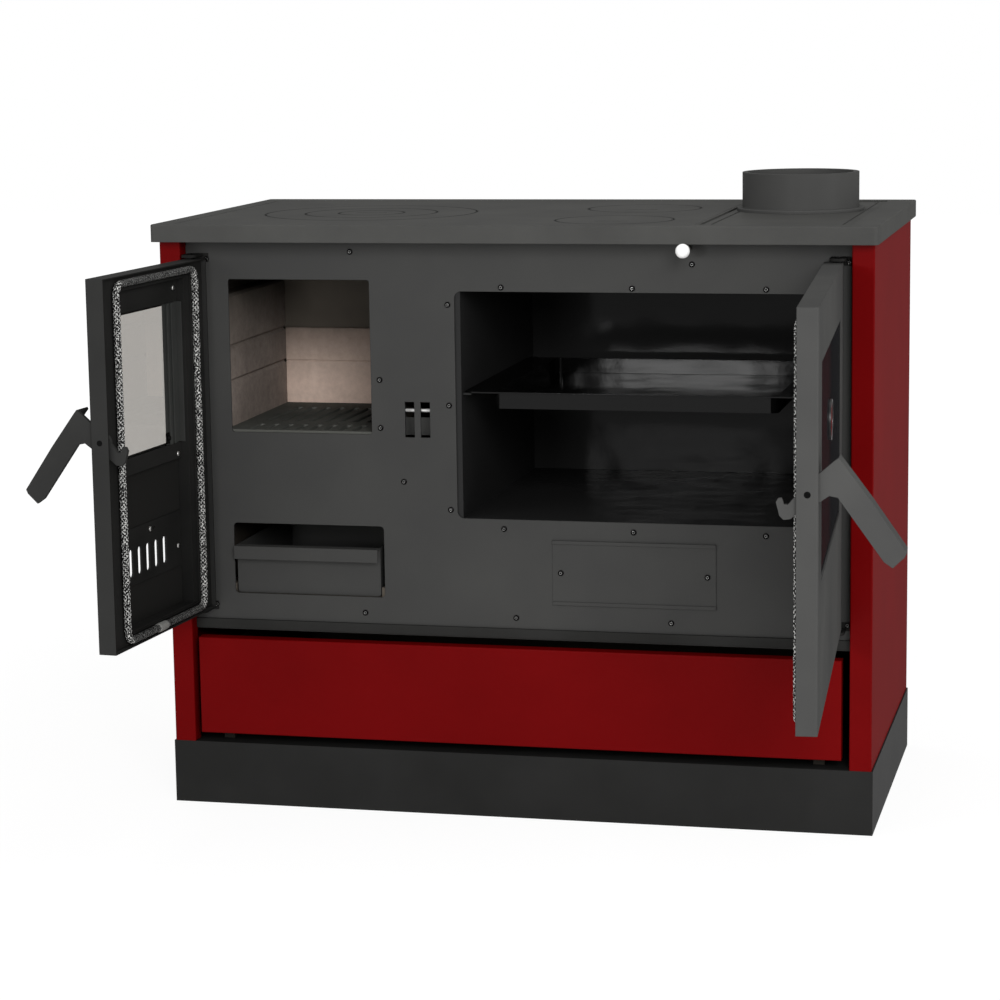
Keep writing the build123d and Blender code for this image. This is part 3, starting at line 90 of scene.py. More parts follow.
# Where the soot begins on a rope's level legs, in rope radii from each side of the loop
SOOT_TOP = 3.0
SOOT_FOOT = 2.4
SOOT_HINGE_SIDE = 3.2
SOOT_LATCH_SIDE = 2.6

# Taped joint of the left rope: its fullness and ripple are shares of the rope's radius
SPLICE_LENGTH = 0.026
SPLICE_OFFSET = 0.02
SPLICE_FULLNESS = 1.03
SPLICE_CUTS = 9
SPLICE_RIPPLE = 0.02
RIPPLES_PER_METRE = 2600.0

# Lips that keep the ropes in their channels, in metres
LIP_HEIGHT = 0.003
LIP_THICKNESS = 0.0012
LIP_GAP = 0.0004
LIP_EASE = 0.0003

# Strip along the firebox window with its clip, and the panes' seals, in metres
STRIP_WIDTH = 0.046
STRIP_THICKNESS = 0.0015
STRIP_GAP = 0.0005
STRIP_END = 0.0083
STRIP_RIM = 0.008
RIB_PLACE = 0.014
LATCH_RIB_WIDTH = 0.007
LATCH_RIB_HEIGHT = STRIP_RIM / 2
HINGE_RIB_WIDTH = 0.0084
HINGE_RIB_HEIGHT = STRIP_RIM / 3
STRIP_EASE = 0.0004
RIB_EASE = 0.001
CLIP_WIDTH = 0.016
CLIP_LAP = 0.004
CLIP_LIFT = 0.002
SEAL_WIDTH = 0.003
SEAL_THICKNESS = 0.0012

# Screws, in metres; the tapers, rims and slopes are shares of the radius
SCREW_RADIUS = 0.0038
SCREW_HEIGHT = 0.0022
SCREW_TAPER = 0.8
SCREW_DOME = 0.0003
RECESS_RIM = 0.3
RECESS_SLOPE = 0.25
RECESS_DEPTH = 0.0008
HEAD_SPAN = 0.009
HEAD_SIDES = 24
LOOKS_UP = 0.9
SOCKET_RADIUS = 0.0021
SOCKET_HEIGHT = 0.0006
SOCKET_RIM = 0.22
SOCKET_SLOPE = 0.05
SOCKET_SINK = 0.7
REAR_SCREWS = 5
REAR_SCREW_END = 0.05
REAR_SCREW_INSET = 0.010

# Thermometer's dial: sweep in degrees, places in shares of its radius, sizes in metres
DIAL_SWEEP = 240.0
DIAL_MARKS = 25
MARKS_PER_READING = 4
DIAL_READINGS = (50, 100, 150, 200, 250, 300, 350)
MARK_OUTER = 0.93
LONG_MARK_INNER = 0.74
SHORT_MARK_INNER = 0.84
LONG_MARK_WIDTH = 0.0008
SHORT_MARK_WIDTH = 0.0004
MARK_THICKNESS = 0.0002
READING_PLACE = 0.58
READING_SIZE = 0.0042
READING_THICKNESS = 0.0001

# Soot and wear, and the painted shade in the hob's sooty seams
# Painted shade: a dark band is laid round the seams of these hob pieces, for the shade in the gaps and
# their sooty dirt; the seam's gap, the band's width and its colour follow
HOB_ROUNDS = ("outer_ring", "inner_ring", "centre_lid", "front_lid", "rear_lid")
SEAM_GAP = 0.0005
SEAM_SHADE_AND_SOOT_WIDTH = 0.0035
SEAM_SHADE_AND_SOOT_BLACK = (0.012, 0.012, 0.0115)
BAKED_BLACK = (0.015, 0.0148, 0.014)
BRICK_BLACK = (0.05, 0.045, 0.038)
KEEPER_BLACK = (0.05, 0.05, 0.048)
RUBBED_STEEL = (0.5, 0.5, 0.49)

# Where the keeper's rubbed steel fades: its heights, and its depths behind the front face
RUBBED_ABOVE = (0.578, 0.581)
RUBBED_BEHIND = (0.0095, 0.011)

DOOR_INSIDE = Vector((0.0, 1.0, 0.0))


# Places on the doors, which are modelled shut and then swung to where they stand

def door_turn(joint_name):
    """The turn from shut to the rest pose, in which the door stands open."""
    joint = JOINTS[joint_name]
    pivot = Matrix.Translation(Vector(joint["pos_m"]))
    swing = Matrix.Rotation(-math.radians(joint["range_deg"][0]), 4, Vector(joint["axis"]))
    return pivot @ swing @ pivot.inverted()


def shut_box(name, turn):
    """A door node's lowest and highest corners with the door shut."""
    back = turn.inverted()
    points = [back @ vertex.co for vertex in NODES[name].data.vertices]
    low = Vector([min(point[axis] for point in points) for axis in range(3)])
    high = Vector([max(point[axis] for point in points) for axis in range(3)])
    return low, high


# Materials

def new_material(name, colour, roughness, metallic=0.0, **sockets):
    """A named Principled material; plain values go straight on its sockets."""
    material = bpy.data.materials.new(name)
    material.use_nodes = True
    shader = material.node_tree.nodes["Principled BSDF"]
    shader.inputs["Base Color"].default_value = (*colour, 1.0)
    shader.inputs["Roughness"].default_value = roughness
    shader.inputs["Metallic"].default_value = metallic
    for socket, value in sockets.items():
        shader.inputs[socket.replace("_", " ")].default_value = value
    return material, material.node_tree, shader


def object_place(tree):
    """A point's place in its own piece."""
    return tree.nodes.new("ShaderNodeTexCoord").outputs["Object"]


def axes_of(tree, vector):
    """The X, Y and Z of a vector, each an output of its own."""
    split = tree.nodes.new("ShaderNodeSeparateXYZ")
    tree.links.new(vector, split.inputs["Vector"])
    return split.outputs


def noise(tree, scale, detail=4.0, stretch=(1.0, 1.0, 1.0), roughness=0.55):
    """Noise in object space, stretched along the axes."""
    mapping = tree.nodes.new("ShaderNodeMapping")
    mapping.inputs["Scale"].default_value = stretch
    tree.links.new(object_place(tree), mapping.inputs["Vector"])
    texture = tree.nodes.new("ShaderNodeTexNoise")
    texture.inputs["Scale"].default_value = scale
    texture.inputs["Detail"].default_value = detail
    texture.inputs["Roughness"].default_value = roughness
    tree.links.new(mapping.outputs["Vector"], texture.inputs["Vector"])
    return texture.outputs["Fac"]


def remap(tree, value, low, high, to_low, to_high):
    """A value's way from low to high, laid over another range and held within it."""
    node = tree.nodes.new("ShaderNodeMapRange")
    for socket, number in (("From Min", low), ("From Max", high),
                           ("To Min", to_low), ("To Max", to_high)):
        node.inputs[socket].default_value = number
    tree.links.new(value, node.inputs["Value"])
    return node.outputs["Result"]


def blend_colour(tree, factor, first, second):
    """A colour between two, each a plain colour or another output."""
    node = tree.nodes.new("ShaderNodeMix")
    node.data_type = "RGBA"
    tree.links.new(factor, node.inputs["Factor"])
    for socket, colour in (("A", first), ("B", second)):
        target = [s for s in node.inputs if s.name == socket and s.type == "RGBA"][0]
        if isinstance(colour, tuple):
            target.default_value = (*colour, 1.0)
        else:
            tree.links.new(colour, target)
    return [s for s in node.outputs if s.type == "RGBA"][0]


def maths(tree, operation, first, second=None):
    """One step of arithmetic on plain numbers or other outputs."""
    node = tree.nodes.new("ShaderNodeMath")
    node.operation = operation
    for index, value in enumerate((first, second)):
        if value is None:
            continue
        if isinstance(value, (int, float)):
            node.inputs[index].default_value = value
        else:
            tree.links.new(value, node.inputs[index])
    return node.outputs["Value"]


def vector_maths(tree, operation, vector, constant=None):
    """One step of vector arithmetic, which gives a number for a length or a dot product."""
    node = tree.nodes.new("ShaderNodeVectorMath")
    node.operation = operation
    tree.links.new(vector, node.inputs[0])
    if constant is not None:
        node.inputs[1].default_value = constant
    return node.outputs["Value" if operation in ("LENGTH", "DOT_PRODUCT") else "Vector"]


def bump(tree, shader, height, distance, strength=1.0, edge=0.0):
    """Relief on the surface, over edges that look rounded by the given radius."""
    node = tree.nodes.new("ShaderNodeBump")
    node.inputs["Distance"].default_value = distance
    node.inputs["Strength"].default_value = strength
    tree.links.new(height, node.inputs["Height"])
    if edge > 0.0:
        soft = tree.nodes.new("ShaderNodeBevel")
        soft.samples = 4
        soft.inputs["Radius"].default_value = edge
        tree.links.new(soft.outputs["Normal"], node.inputs["Normal"])
    tree.links.new(node.outputs["Normal"], shader.inputs["Normal"])


def painted_sheet(name, colour, light, roughness, grain=420.0, edge=0.0012, depth=0.00005,
                  gloss=0.06, baked=None):
    """Stove paint on sheet steel: a fine grain, faint cloudiness and a low sheen.

    Where baked is given, the faces that look that way are darkened by the fire's heat.
    """
    material, tree, shader = new_material(name, colour, roughness, Specular_IOR_Level=0.0,
                                          Coat_Weight=gloss, Coat_Roughness=0.32)
    cloud = noise(tree, 6.0, 3.0)
    colour_out = blend_colour(tree, remap(tree, cloud, 0.35, 0.7, 0.0, 1.0), colour, light)
    if baked is not None:
        normal = tree.nodes.new("ShaderNodeTexCoord").outputs["Normal"]
        share = remap(tree, vector_maths(tree, "DOT_PRODUCT", normal, baked), 0.8, 0.95, 0.0, 1.0)
        colour_out = blend_colour(tree, share, colour_out, BAKED_BLACK)
    tree.links.new(colour_out, shader.inputs["Base Color"])
    worn = noise(tree, 22.0, 5.0)
    tree.links.new(remap(tree, worn, 0.3, 0.75, roughness - 0.05, roughness + 0.07),
                   shader.inputs["Roughness"])
    bump(tree, shader, noise(tree, grain, 3.0), depth, 1.0, edge)
    return material


def near_ring(tree, centre, radius, width):
    """1 on a circle in the hob's plane, falling to 0 at the width either side of it."""
    away = vector_maths(tree, "SUBTRACT", object_place(tree), (centre.x, centre.y, 0.0))
    flat = vector_maths(tree, "MULTIPLY", away, (1.0, 1.0, 0.0))
    off = maths(tree, "SUBTRACT", vector_maths(tree, "LENGTH", flat), radius)
    return remap(tree, maths(tree, "ABSOLUTE", off), 0.0, width, 1.0, 0.0)


def seam_soot(tree, rounds):
    """How dark the seams round some of the hob's round pieces are painted: painted shade in the gaps, with
    sooty dirt.
    """
    darkening = None
    for node in rounds:
        low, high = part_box(node)
        ring = near_ring(tree, (low + high) / 2, (high.x - low.x) / 2 + SEAM_GAP, SEAM_SHADE_AND_SOOT_WIDTH)
        darkening = ring if darkening is None else maths(tree, "MAXIMUM", darkening, ring)
    broken = remap(tree, noise(tree, 60.0, 4.0), 0.3, 0.6, 0.55, 1.0)
    return maths(tree, "MULTIPLY", darkening, broken)


def cast_metal(name, colour, light, roughness, grain=260.0, depth=0.0002, shaded_and_sooty_rounds=()):
    """Sand-cast iron: coarse pits, uneven tone and a low, broken gloss.

    Painted shade, with sooty dirt, darkens the seams round the round pieces that the last argument names.
    """
    material, tree, shader = new_material(name, colour, roughness, Specular_IOR_Level=0.0,
                                          Coat_Weight=0.07, Coat_Roughness=0.4)
    pits = noise(tree, grain, 6.0, roughness=0.7)
    tone = noise(tree, 9.0, 5.0)
    shade = blend_colour(tree, remap(tree, tone, 0.3, 0.7, 0.0, 1.0), colour, light)
    if shaded_and_sooty_rounds:
        # Painted shade: a dark band round each seam, for the shade in the gap and its sooty dirt
        shade = blend_colour(tree, seam_soot(tree, shaded_and_sooty_rounds), shade, SEAM_SHADE_AND_SOOT_BLACK)
    tree.links.new(shade, shader.inputs["Base Color"])
    tree.links.new(remap(tree, tone, 0.3, 0.7, roughness - 0.08, roughness + 0.1),
                   shader.inputs["Roughness"])
    bump(tree, shader, pits, depth, 0.8, edge=0.0015)
    return material


def fired_brick(name, clay_dark, clay_light, soot_low, soot_high):
    """Pale firebrick, pressed smooth; soot comes in between the two heights and stays above."""
    material, tree, shader = new_material(name, clay_light, 0.9, Specular_IOR_Level=0.0)
    speckle = noise(tree, 90.0, 6.0, roughness=0.7)
    clay = blend_colour(tree, remap(tree, speckle, 0.3, 0.7, 0.0, 1.0), clay_dark, clay_light)
    height = axes_of(tree, object_place(tree))["Z"]
    streaks = noise(tree, 14.0, 4.0, (1.0, 1.0, 0.35))
    level = maths(tree, "ADD", height, maths(tree, "MULTIPLY", streaks, 0.05))
    darkening = remap(tree, level, soot_low, soot_high, 0.0, 0.92)
    tree.links.new(blend_colour(tree, darkening, clay, BRICK_BLACK), shader.inputs["Base Color"])
    bump(tree, shader, speckle, 0.0006, 0.7, 0.0015)
    return material


def black_enamel(name, colour, gloss):
    """Vitreous enamel: a deep gloss over a slightly wavy steel."""
    material, tree, shader = new_material(name, colour, 0.3, Specular_IOR_Level=0.0, Coat_Weight=gloss,
                                          Coat_Roughness=0.09)
    wave = noise(tree, 7.0, 2.0)
    fine = noise(tree, 160.0, 3.0)
    height = maths(tree, "ADD", wave, maths(tree, "MULTIPLY", fine, 0.02))
    tree.links.new(remap(tree, noise(tree, 30.0, 4.0), 0.3, 0.7, 0.25, 0.4), shader.inputs["Roughness"])
    bump(tree, shader, height, 0.004, 0.35, 0.001)
    for link in list(shader.inputs["Normal"].links):
        tree.links.new(link.from_socket, shader.inputs["Coat Normal"])
    return material


def bright_steel(name, colour, roughness):
    """Bare or blackened steel with fine upright lines."""
    material, tree, shader = new_material(name, colour, roughness, 1.0)
    lines = noise(tree, 300.0, 3.0, (1.0, 1.0, 12.0))
    tree.links.new(remap(tree, lines, 0.3, 0.7, roughness - 0.06, roughness + 0.1),
                   shader.inputs["Roughness"])
    bump(tree, shader, lines, 0.00003, 1.0, 0.0005)
    return material


def keeper_steel():
    """The latch keeper: a black bracket with its pin rubbed bright by the hooks."""
    material, tree, shader = new_material("keeper_steel", KEEPER_BLACK, 0.45, Specular_IOR_Level=0.1)
    front_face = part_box("latch_keeper")[0].y
    axes = axes_of(tree, object_place(tree))
    rubbed = remap(tree, axes["Z"], *RUBBED_ABOVE, 0.0, 1.0)
    front = remap(tree, axes["Y"], *(front_face + depth for depth in RUBBED_BEHIND), 1.0, 0.0)
    share = maths(tree, "MULTIPLY", rubbed, front)
    uneven = remap(tree, noise(tree, 120.0, 3.0), 0.3, 0.6, 0.5, 1.0)
    wear = maths(tree, "MULTIPLY", share, uneven)
    tree.links.new(blend_colour(tree, wear, KEEPER_BLACK, RUBBED_STEEL), shader.inputs["Base Color"])
    tree.links.new(maths(tree, "MULTIPLY", wear, 0.9), shader.inputs["Metallic"])
    return material


def braided_rope(name, light, dark):
    """Glass-fibre braid from the piece's own UV map: crossing strands, light on dark."""
    material, tree, shader = new_material(name, light, 0.9, Specular_IOR_Level=0.0)
    uv = tree.nodes.new("ShaderNodeUVMap")
    uv.uv_map = "braid"
    axes = axes_of(tree, uv.outputs["UV"])
    turn = maths(tree, "MULTIPLY", axes["Y"], BRAID_STRANDS)
    waves = []
    for direction in ("ADD", "SUBTRACT"):
        phase = maths(tree, "MULTIPLY", maths(tree, direction, axes["X"], turn), math.tau)
        waves.append(maths(tree, "SINE", phase))
    crest = maths(tree, "MAXIMUM", *waves)
    strands = remap(tree, noise(tree, 760.0, 2.0, (1.0, 1.0, 0.5), 0.7), 0.38, 0.62, -0.6, 0.6)
    threads = maths(tree, "ADD", maths(tree, "MULTIPLY", crest, 0.4), strands)
    factor = remap(tree, threads, 0.34, 0.52, 0.0, 1.0)
    tree.links.new(blend_colour(tree, factor, dark, light), shader.inputs["Base Color"])
    bump(tree, shader, crest, 0.0008, 0.9)
    return material


def clear_glass(name, tint):
    """Clear glass with faint smears."""
    material, tree, shader = new_material(name, tint, 0.02, Transmission_Weight=1.0, IOR=1.45)
    smears = noise(tree, 18.0, 4.0)
    tree.links.new(remap(tree, smears, 0.4, 0.8, 0.015, 0.06), shader.inputs["Roughness"])
    return material


def smoked_glass():
    """The oven window: heat-reflecting glass that looks nearly black."""
    material, tree, shader = new_material("oven_glass", (0.012, 0.012, 0.013), 0.3, Specular_IOR_Level=0.0,
                                          Coat_Weight=0.12, Coat_Roughness=0.05)
    smears = noise(tree, 14.0, 4.0)
    tree.links.new(remap(tree, smears, 0.4, 0.8, 0.2, 0.4), shader.inputs["Roughness"])
    return material


def white_ceramic():
    """The damper's glazed white knob."""
    material, tree, shader = new_material("white_ceramic", (0.93, 0.93, 0.92), 0.12, Coat_Weight=0.4)
    tone = blend_colour(tree, noise(tree, 60.0, 3.0), (0.90, 0.90, 0.88), (0.96, 0.96, 0.95))
    tree.links.new(tone, shader.inputs["Base Color"])
    return material


def plain_paint(name, colour, roughness):
    """Printed or painted small parts, with a faint unevenness."""
    material, tree, shader = new_material(name, colour, roughness, Specular_IOR_Level=0.1)
    tone = noise(tree, 200.0, 3.0)
    darker = tuple(0.85 * value for value in colour)
    tree.links.new(blend_colour(tree, tone, darker, colour), shader.inputs["Base Color"])
    return material


LEFT_TURN = door_turn("left_door_hinge")
RIGHT_TURN = door_turn("right_door_hinge")

FASCIA_PAINT = painted_sheet("fascia_paint", (0.046, 0.046, 0.045), (0.053, 0.053, 0.051), 0.52)
# Painted shade: the ledge is painted much darker than the fascia, for the shade it lies in
LEDGE_SHADE_PAINT = painted_sheet("ledge_painted_shade", (0.020, 0.020, 0.019), (0.028, 0.028, 0.027), 0.5)
# Painted shade: the left door is painted about half as light as the right door, which has the same paint
LEFT_DOOR_SHADED_PAINT = painted_sheet("left_door_paint_shaded", (0.024, 0.024, 0.0235), (0.030, 0.030, 0.029), 0.5,
                                baked=LEFT_TURN.to_3x3() @ DOOR_INSIDE)
RIGHT_DOOR_PAINT = painted_sheet("right_door_paint", (0.054, 0.054, 0.053), (0.064, 0.064, 0.062), 0.55,
                                 gloss=0.02, baked=RIGHT_TURN.to_3x3() @ DOOR_INSIDE)
INNER_PAINT = painted_sheet("inner_door_paint", (0.012, 0.012, 0.0115), (0.019, 0.0187, 0.018), 0.6)
STRIP_PAINT = painted_sheet("strip_paint", (0.026, 0.027, 0.026), (0.040, 0.041, 0.039), 0.45)
# Painted shade: the left handle is painted about half as light as the right handle, which has the same
# paint
LEFT_HANDLE_SHADED_PAINT = painted_sheet("left_handle_paint_shaded", (0.025, 0.025, 0.0245), (0.033, 0.033, 0.032), 0.48)
RIGHT_HANDLE_PAINT = painted_sheet("right_handle_paint", (0.056, 0.056, 0.055), (0.068, 0.068, 0.066), 0.5,
                                   gloss=0.03)
PLINTH_PAINT = painted_sheet("plinth_paint", (0.0125, 0.0125, 0.012), (0.0175, 0.0175, 0.017), 0.45,
                             gloss=0.17)
RED_PAINT = painted_sheet("red_paint", (0.118, 0.0010, 0.0014), (0.134, 0.0013, 0.0018), 0.38,
                          grain=240.0, edge=0.0025, depth=0.00003, gloss=0.07)
TOP_CAST = cast_metal("cast_top", (0.053, 0.053, 0.051), (0.064, 0.064, 0.061), 0.52)
HOB_CAST = cast_metal("hob_iron", (0.053, 0.053, 0.051), (0.064, 0.064, 0.061), 0.52,
                      shaded_and_sooty_rounds=HOB_ROUNDS)
COLLAR_PAINT = painted_sheet("collar_paint", (0.054, 0.054, 0.053), (0.062, 0.062, 0.060), 0.5)
GRATE_CAST = cast_metal("grate_cast", (0.078, 0.080, 0.072), (0.112, 0.113, 0.103), 0.6,
                        grain=180.0, depth=0.0004)
SOOTED_STEEL = painted_sheet("sooted_steel", (0.020, 0.018, 0.0155), (0.034, 0.030, 0.025), 0.7)
CASING_STEEL = painted_sheet("casing_steel", (0.072, 0.062, 0.051), (0.108, 0.094, 0.078), 0.75)
SIDE_BRICK = fired_brick("side_firebrick", (0.20, 0.165, 0.145), (0.29, 0.245, 0.215),
                         soot_low=0.640, soot_high=0.775)
# Painted light: the rear bricks' clay is painted about three times as light as the side bricks', the same
# brick, for the light on the firebox's back wall
REAR_BRICK_LIT = fired_brick("rear_firebrick_lit", (0.68, 0.52, 0.435), (0.82, 0.64, 0.54),
                         soot_low=0.605, soot_high=0.712)
ENAMEL = black_enamel("black_enamel", (0.021, 0.021, 0.021), gloss=0.14)
TRAY_ENAMEL = black_enamel("tray_enamel", (0.0025, 0.0025, 0.0025), gloss=0.35)
BRIGHT_STEEL = bright_steel("bright_steel", (0.62, 0.61, 0.59), 0.3)
# Painted highlight: the screw sockets are a lighter steel than the black heads they sit in, for the glints
# on the heads
SOCKET_GLINT_STEEL = bright_steel("socket_glint_steel", (0.34, 0.34, 0.33), 0.25)
BLACK_SCREW = bright_steel("black_screw", (0.007, 0.007, 0.007), 0.18)
DIAL_CASE = bright_steel("dial_case", (0.05, 0.05, 0.05), 0.35)
ROPE = braided_rope("rope_braid", (0.62, 0.62, 0.60), (0.010, 0.010, 0.010))
ROPE_SOOTY = braided_rope("rope_sooty", (0.19, 0.19, 0.185), (0.022, 0.022, 0.0215))
GLASS = clear_glass("ceramic_glass", (0.45, 0.432, 0.405))
DIAL_GLASS = clear_glass("dial_glass", (0.97, 0.97, 0.96))
OVEN_GLASS = smoked_glass()
CERAMIC = white_ceramic()
DIAL_WHITE = plain_paint("dial_white", (0.78, 0.78, 0.75), 0.6)
DIAL_BLACK = plain_paint("dial_black", (0.02, 0.02, 0.02), 0.6)
NEEDLE_RED = plain_paint("needle_red", (0.55, 0.02, 0.02), 0.45)
SEAL_BLACK = plain_paint("seal_black", (0.016, 0.016, 0.016), 0.8)

NODE_FINISH = {
    "fascia": FASCIA_PAINT, "fascia_ledge": LEDGE_SHADE_PAINT, "soot_hatch": FASCIA_PAINT,
    "latch_keeper": keeper_steel(), "hinge_brackets": INNER_PAINT, "fascia_screws": BLACK_SCREW,
    "left_door_shell": LEFT_DOOR_SHADED_PAINT, "right_door_shell": RIGHT_DOOR_PAINT,
    "left_door_inner_frame": INNER_PAINT, "right_door_inner_panel": INNER_PAINT,
    "left_glass_retainers": INNER_PAINT, "right_glass_retainer": INNER_PAINT,
    "air_slider": INNER_PAINT, "left_handle": LEFT_HANDLE_SHADED_PAINT, "right_handle": RIGHT_HANDLE_PAINT,
    "left_handle_pivot": BLACK_SCREW, "right_handle_pivot": BLACK_SCREW,
    "left_door_hinge_pins": BLACK_SCREW, "right_door_hinge_pins": BLACK_SCREW,
    "left_door_screws": BRIGHT_STEEL, "right_door_screws": BRIGHT_STEEL,
    "left_door_glass": GLASS, "right_door_glass": OVEN_GLASS,
    "thermometer_body": DIAL_CASE, "thermometer_dial": DIAL_BLACK, "thermometer_glass": DIAL_GLASS,
    "thermometer_needle": NEEDLE_RED,
    "left_side_panel": RED_PAINT, "right_side_panel": RED_PAINT, "wood_drawer_front": RED_PAINT,
    "plinth": PLINTH_PAINT, "back_panel": SOOTED_STEEL, "floor_plate": SOOTED_STEEL,
    "wood_drawer_box": SOOTED_STEEL, "drawer_runners": SOOTED_STEEL,
    "worktop_frame": TOP_CAST, "hob_plate": HOB_CAST, "outer_ring": HOB_CAST, "inner_ring": HOB_CAST,
    "centre_lid": HOB_CAST, "front_lid": HOB_CAST, "rear_lid": HOB_CAST, "flue_plate": TOP_CAST,
    "flue_collar": COLLAR_PAINT,
    "damper_rod": BRIGHT_STEEL, "damper_knob": CERAMIC, "damper_plate": SOOTED_STEEL,
    "damper_frame": SOOTED_STEEL, "firebox_casing": CASING_STEEL, "grate_frame": GRATE_CAST,
    "grate": GRATE_CAST, "left_bricks": SIDE_BRICK, "rear_bricks": REAR_BRICK_LIT, "right_bricks": SIDE_BRICK,
    "ash_drawer": FASCIA_PAINT, "oven_box": ENAMEL, "oven_rails": ENAMEL, "baking_tray": TRAY_ENAMEL,
}


def finish_nodes():
    """Gives every CAD node its finish."""
    for name, material in NODE_FINISH.items():
        node = NODES[name]
        node.data.materials.clear()
        node.data.materials.append(material)


# Mesh helpers

def place_in_scene(name, data):
    """A mesh, a lamp or a camera as an object of the scene."""
    thing = bpy.data.objects.new(name, data)
    bpy.context.scene.collection.objects.link(thing)
    return thing


def add_piece(name, mesh_source, material, body, smooth=False):
    """Turns a bmesh into a piece that rides on a body."""
    mesh = bpy.data.meshes.new(name)
    bmesh.ops.recalc_face_normals(mesh_source, faces=mesh_source.faces)
    mesh_source.to_mesh(mesh)
    mesh_source.free()
    for polygon in mesh.polygons:
        polygon.use_smooth = smooth
    piece = place_in_scene(name, mesh)
    mesh.materials.append(material)
    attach(piece, body)
    return piece


def mesh_of(curve):
    """The mesh of a curve or of a text, without its materials."""
    holder = bpy.data.objects.new(curve.name, curve)
    mesh = bpy.data.meshes.new_from_object(holder)
    bpy.data.objects.remove(holder)
    mesh.materials.clear()
    return mesh


def merge(target, part):
    """Adds one bmesh to another and frees it."""
    mesh = bpy.data.meshes.new("part")
    part.to_mesh(mesh)
    part.free()
    target.from_mesh(mesh)
    bpy.data.meshes.remove(mesh)


def add_block(target, low, high, bevel=0.0):
    """A block between two corners, with its edges eased."""
    part = bmesh.new()
    bmesh.ops.create_cube(part, size=1.0)
    size = [high[axis] - low[axis] for axis in range(3)]
    centre = [(high[axis] + low[axis]) / 2 for axis in range(3)]
    bmesh.ops.scale(part, vec=size, verts=part.verts)
    bmesh.ops.translate(part, vec=centre, verts=part.verts)
    if bevel > 0.0:
        bmesh.ops.bevel(part, geom=part.edges[:], offset=bevel, segments=2, profile=0.5,
                        affect="EDGES", material=-1)
    merge(target, part)


def add_rim(target, low, high, width, bevel=0.0):
    """Four blocks that make an upright frame inside two corners."""
    x0, y0, z0 = low
    x1, y1, z1 = high
    add_block(target, (x0, y0, z0), (x0 + width, y1, z1), bevel)
    add_block(target, (x1 - width, y0, z0), (x1, y1, z1), bevel)
    add_block(target, (x0 + width, y0, z0), (x1 - width, y1, z0 + width), bevel)
    add_block(target, (x0 + width, y0, z1 - width), (x1 - width, y1, z1), bevel)


def turn_to(facing):
    """The turn that makes an upright shape look the way of facing."""
    return Vector((0, 0, 1)).rotation_difference(Vector(facing)).to_matrix().to_4x4()


def top_faces(part):
    """The faces of an upright shape that look up."""
    return [face for face in part.faces if face.normal.z > LOOKS_UP]


def add_screw_head(target, centre, facing):
    """A domed pan head with a round recess; facing is the way that it looks."""
    part = bmesh.new()
    bmesh.ops.create_cone(part, cap_ends=True, cap_tris=False, segments=HEAD_SIDES,
                          radius1=SCREW_RADIUS, radius2=SCREW_RADIUS * SCREW_TAPER,
                          depth=SCREW_HEIGHT)
    top = top_faces(part)
    bmesh.ops.inset_region(part, faces=top, thickness=SCREW_RADIUS * RECESS_RIM, depth=SCREW_DOME)
    bmesh.ops.inset_region(part, faces=top, thickness=SCREW_RADIUS * RECESS_SLOPE,
                           depth=-RECESS_DEPTH)
    standing = Matrix.Translation((0, 0, SCREW_HEIGHT / 2))
    place = Matrix.Translation(Vector(centre)) @ turn_to(facing) @ standing
    bmesh.ops.transform(part, matrix=place, verts=part.verts)
    merge(target, part)


# Door ropes

def rope_path(low, high, radius, bend):
    """Evenly spaced points round a rounded rectangle, and the length between them."""
    x0, x1 = low.x + radius, high.x - radius
    z0, z1 = low.z + radius, high.z - radius
    y = (low.y + high.y) / 2
    corners = [(x1 - bend, z1 - bend, 90.0), (x0 + bend, z1 - bend, 180.0),
               (x0 + bend, z0 + bend, 270.0), (x1 - bend, z0 + bend, 360.0)]
    outline = []
    for cx, cz, end in corners:
        for step in range(BEND_STEPS + 1):
            angle = math.radians(end - 90.0 + 90.0 * step / BEND_STEPS)
            outline.append(Vector((cx + bend * math.cos(angle), y, cz + bend * math.sin(angle))))
    outline.append(outline[0])
    length = sum((b - a).length for a, b in zip(outline, outline[1:]))
    count = round(length / ROPE_STEP)
    step = length / count
    points, walked, target = [], 0.0, 0.0
    for a, b in zip(outline, outline[1:]):
        run = (b - a).length
        while target < walked + run - NEARLY_NOTHING and len(points) < count:
            points.append(a.lerp(b, (target - walked) / run))
            target += step
        walked += run
    return points, length


def make_rope(name, node, turn, body, sooty_legs):
    """A braided rope in place of the plain one; smoke may have blackened its level legs."""
    low, high = shut_box(node, turn)
    radius = (high.y - low.y) / 2
    points, length = rope_path(low, high, radius, ROPE_BEND)
    curve = bpy.data.curves.new(name + "_path", "CURVE")
    curve.dimensions = "3D"
    curve.bevel_depth = radius * ROPE_FULLNESS
    curve.bevel_resolution = ROPE_SIDES // 4
    spline = curve.splines.new("POLY")
    spline.points.add(len(points) - 1)
    for point, place in zip(spline.points, points):
        point.co = (*place, 1.0)
    spline.use_cyclic_u = True
    mesh = mesh_of(curve)
    braid_map(mesh, points, length)
    mesh.transform(turn)
    mesh.update()
    mesh.materials.append(ROPE)
    mesh.materials.append(ROPE_SOOTY)
    back = turn.inverted()
    for polygon in mesh.polygons:
        polygon.use_smooth = True
        centre = back @ polygon.center
        level = (centre.z > high.z - SOOT_TOP * radius) or (centre.z < low.z + SOOT_FOOT * radius)
        inside = low.x + SOOT_HINGE_SIDE * radius < centre.x < high.x - SOOT_LATCH_SIDE * radius
        polygon.material_index = int(sooty_legs and level and inside)
    piece = place_in_scene(name, mesh)
    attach(piece, body)
    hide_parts(node)
    return low, high, radius


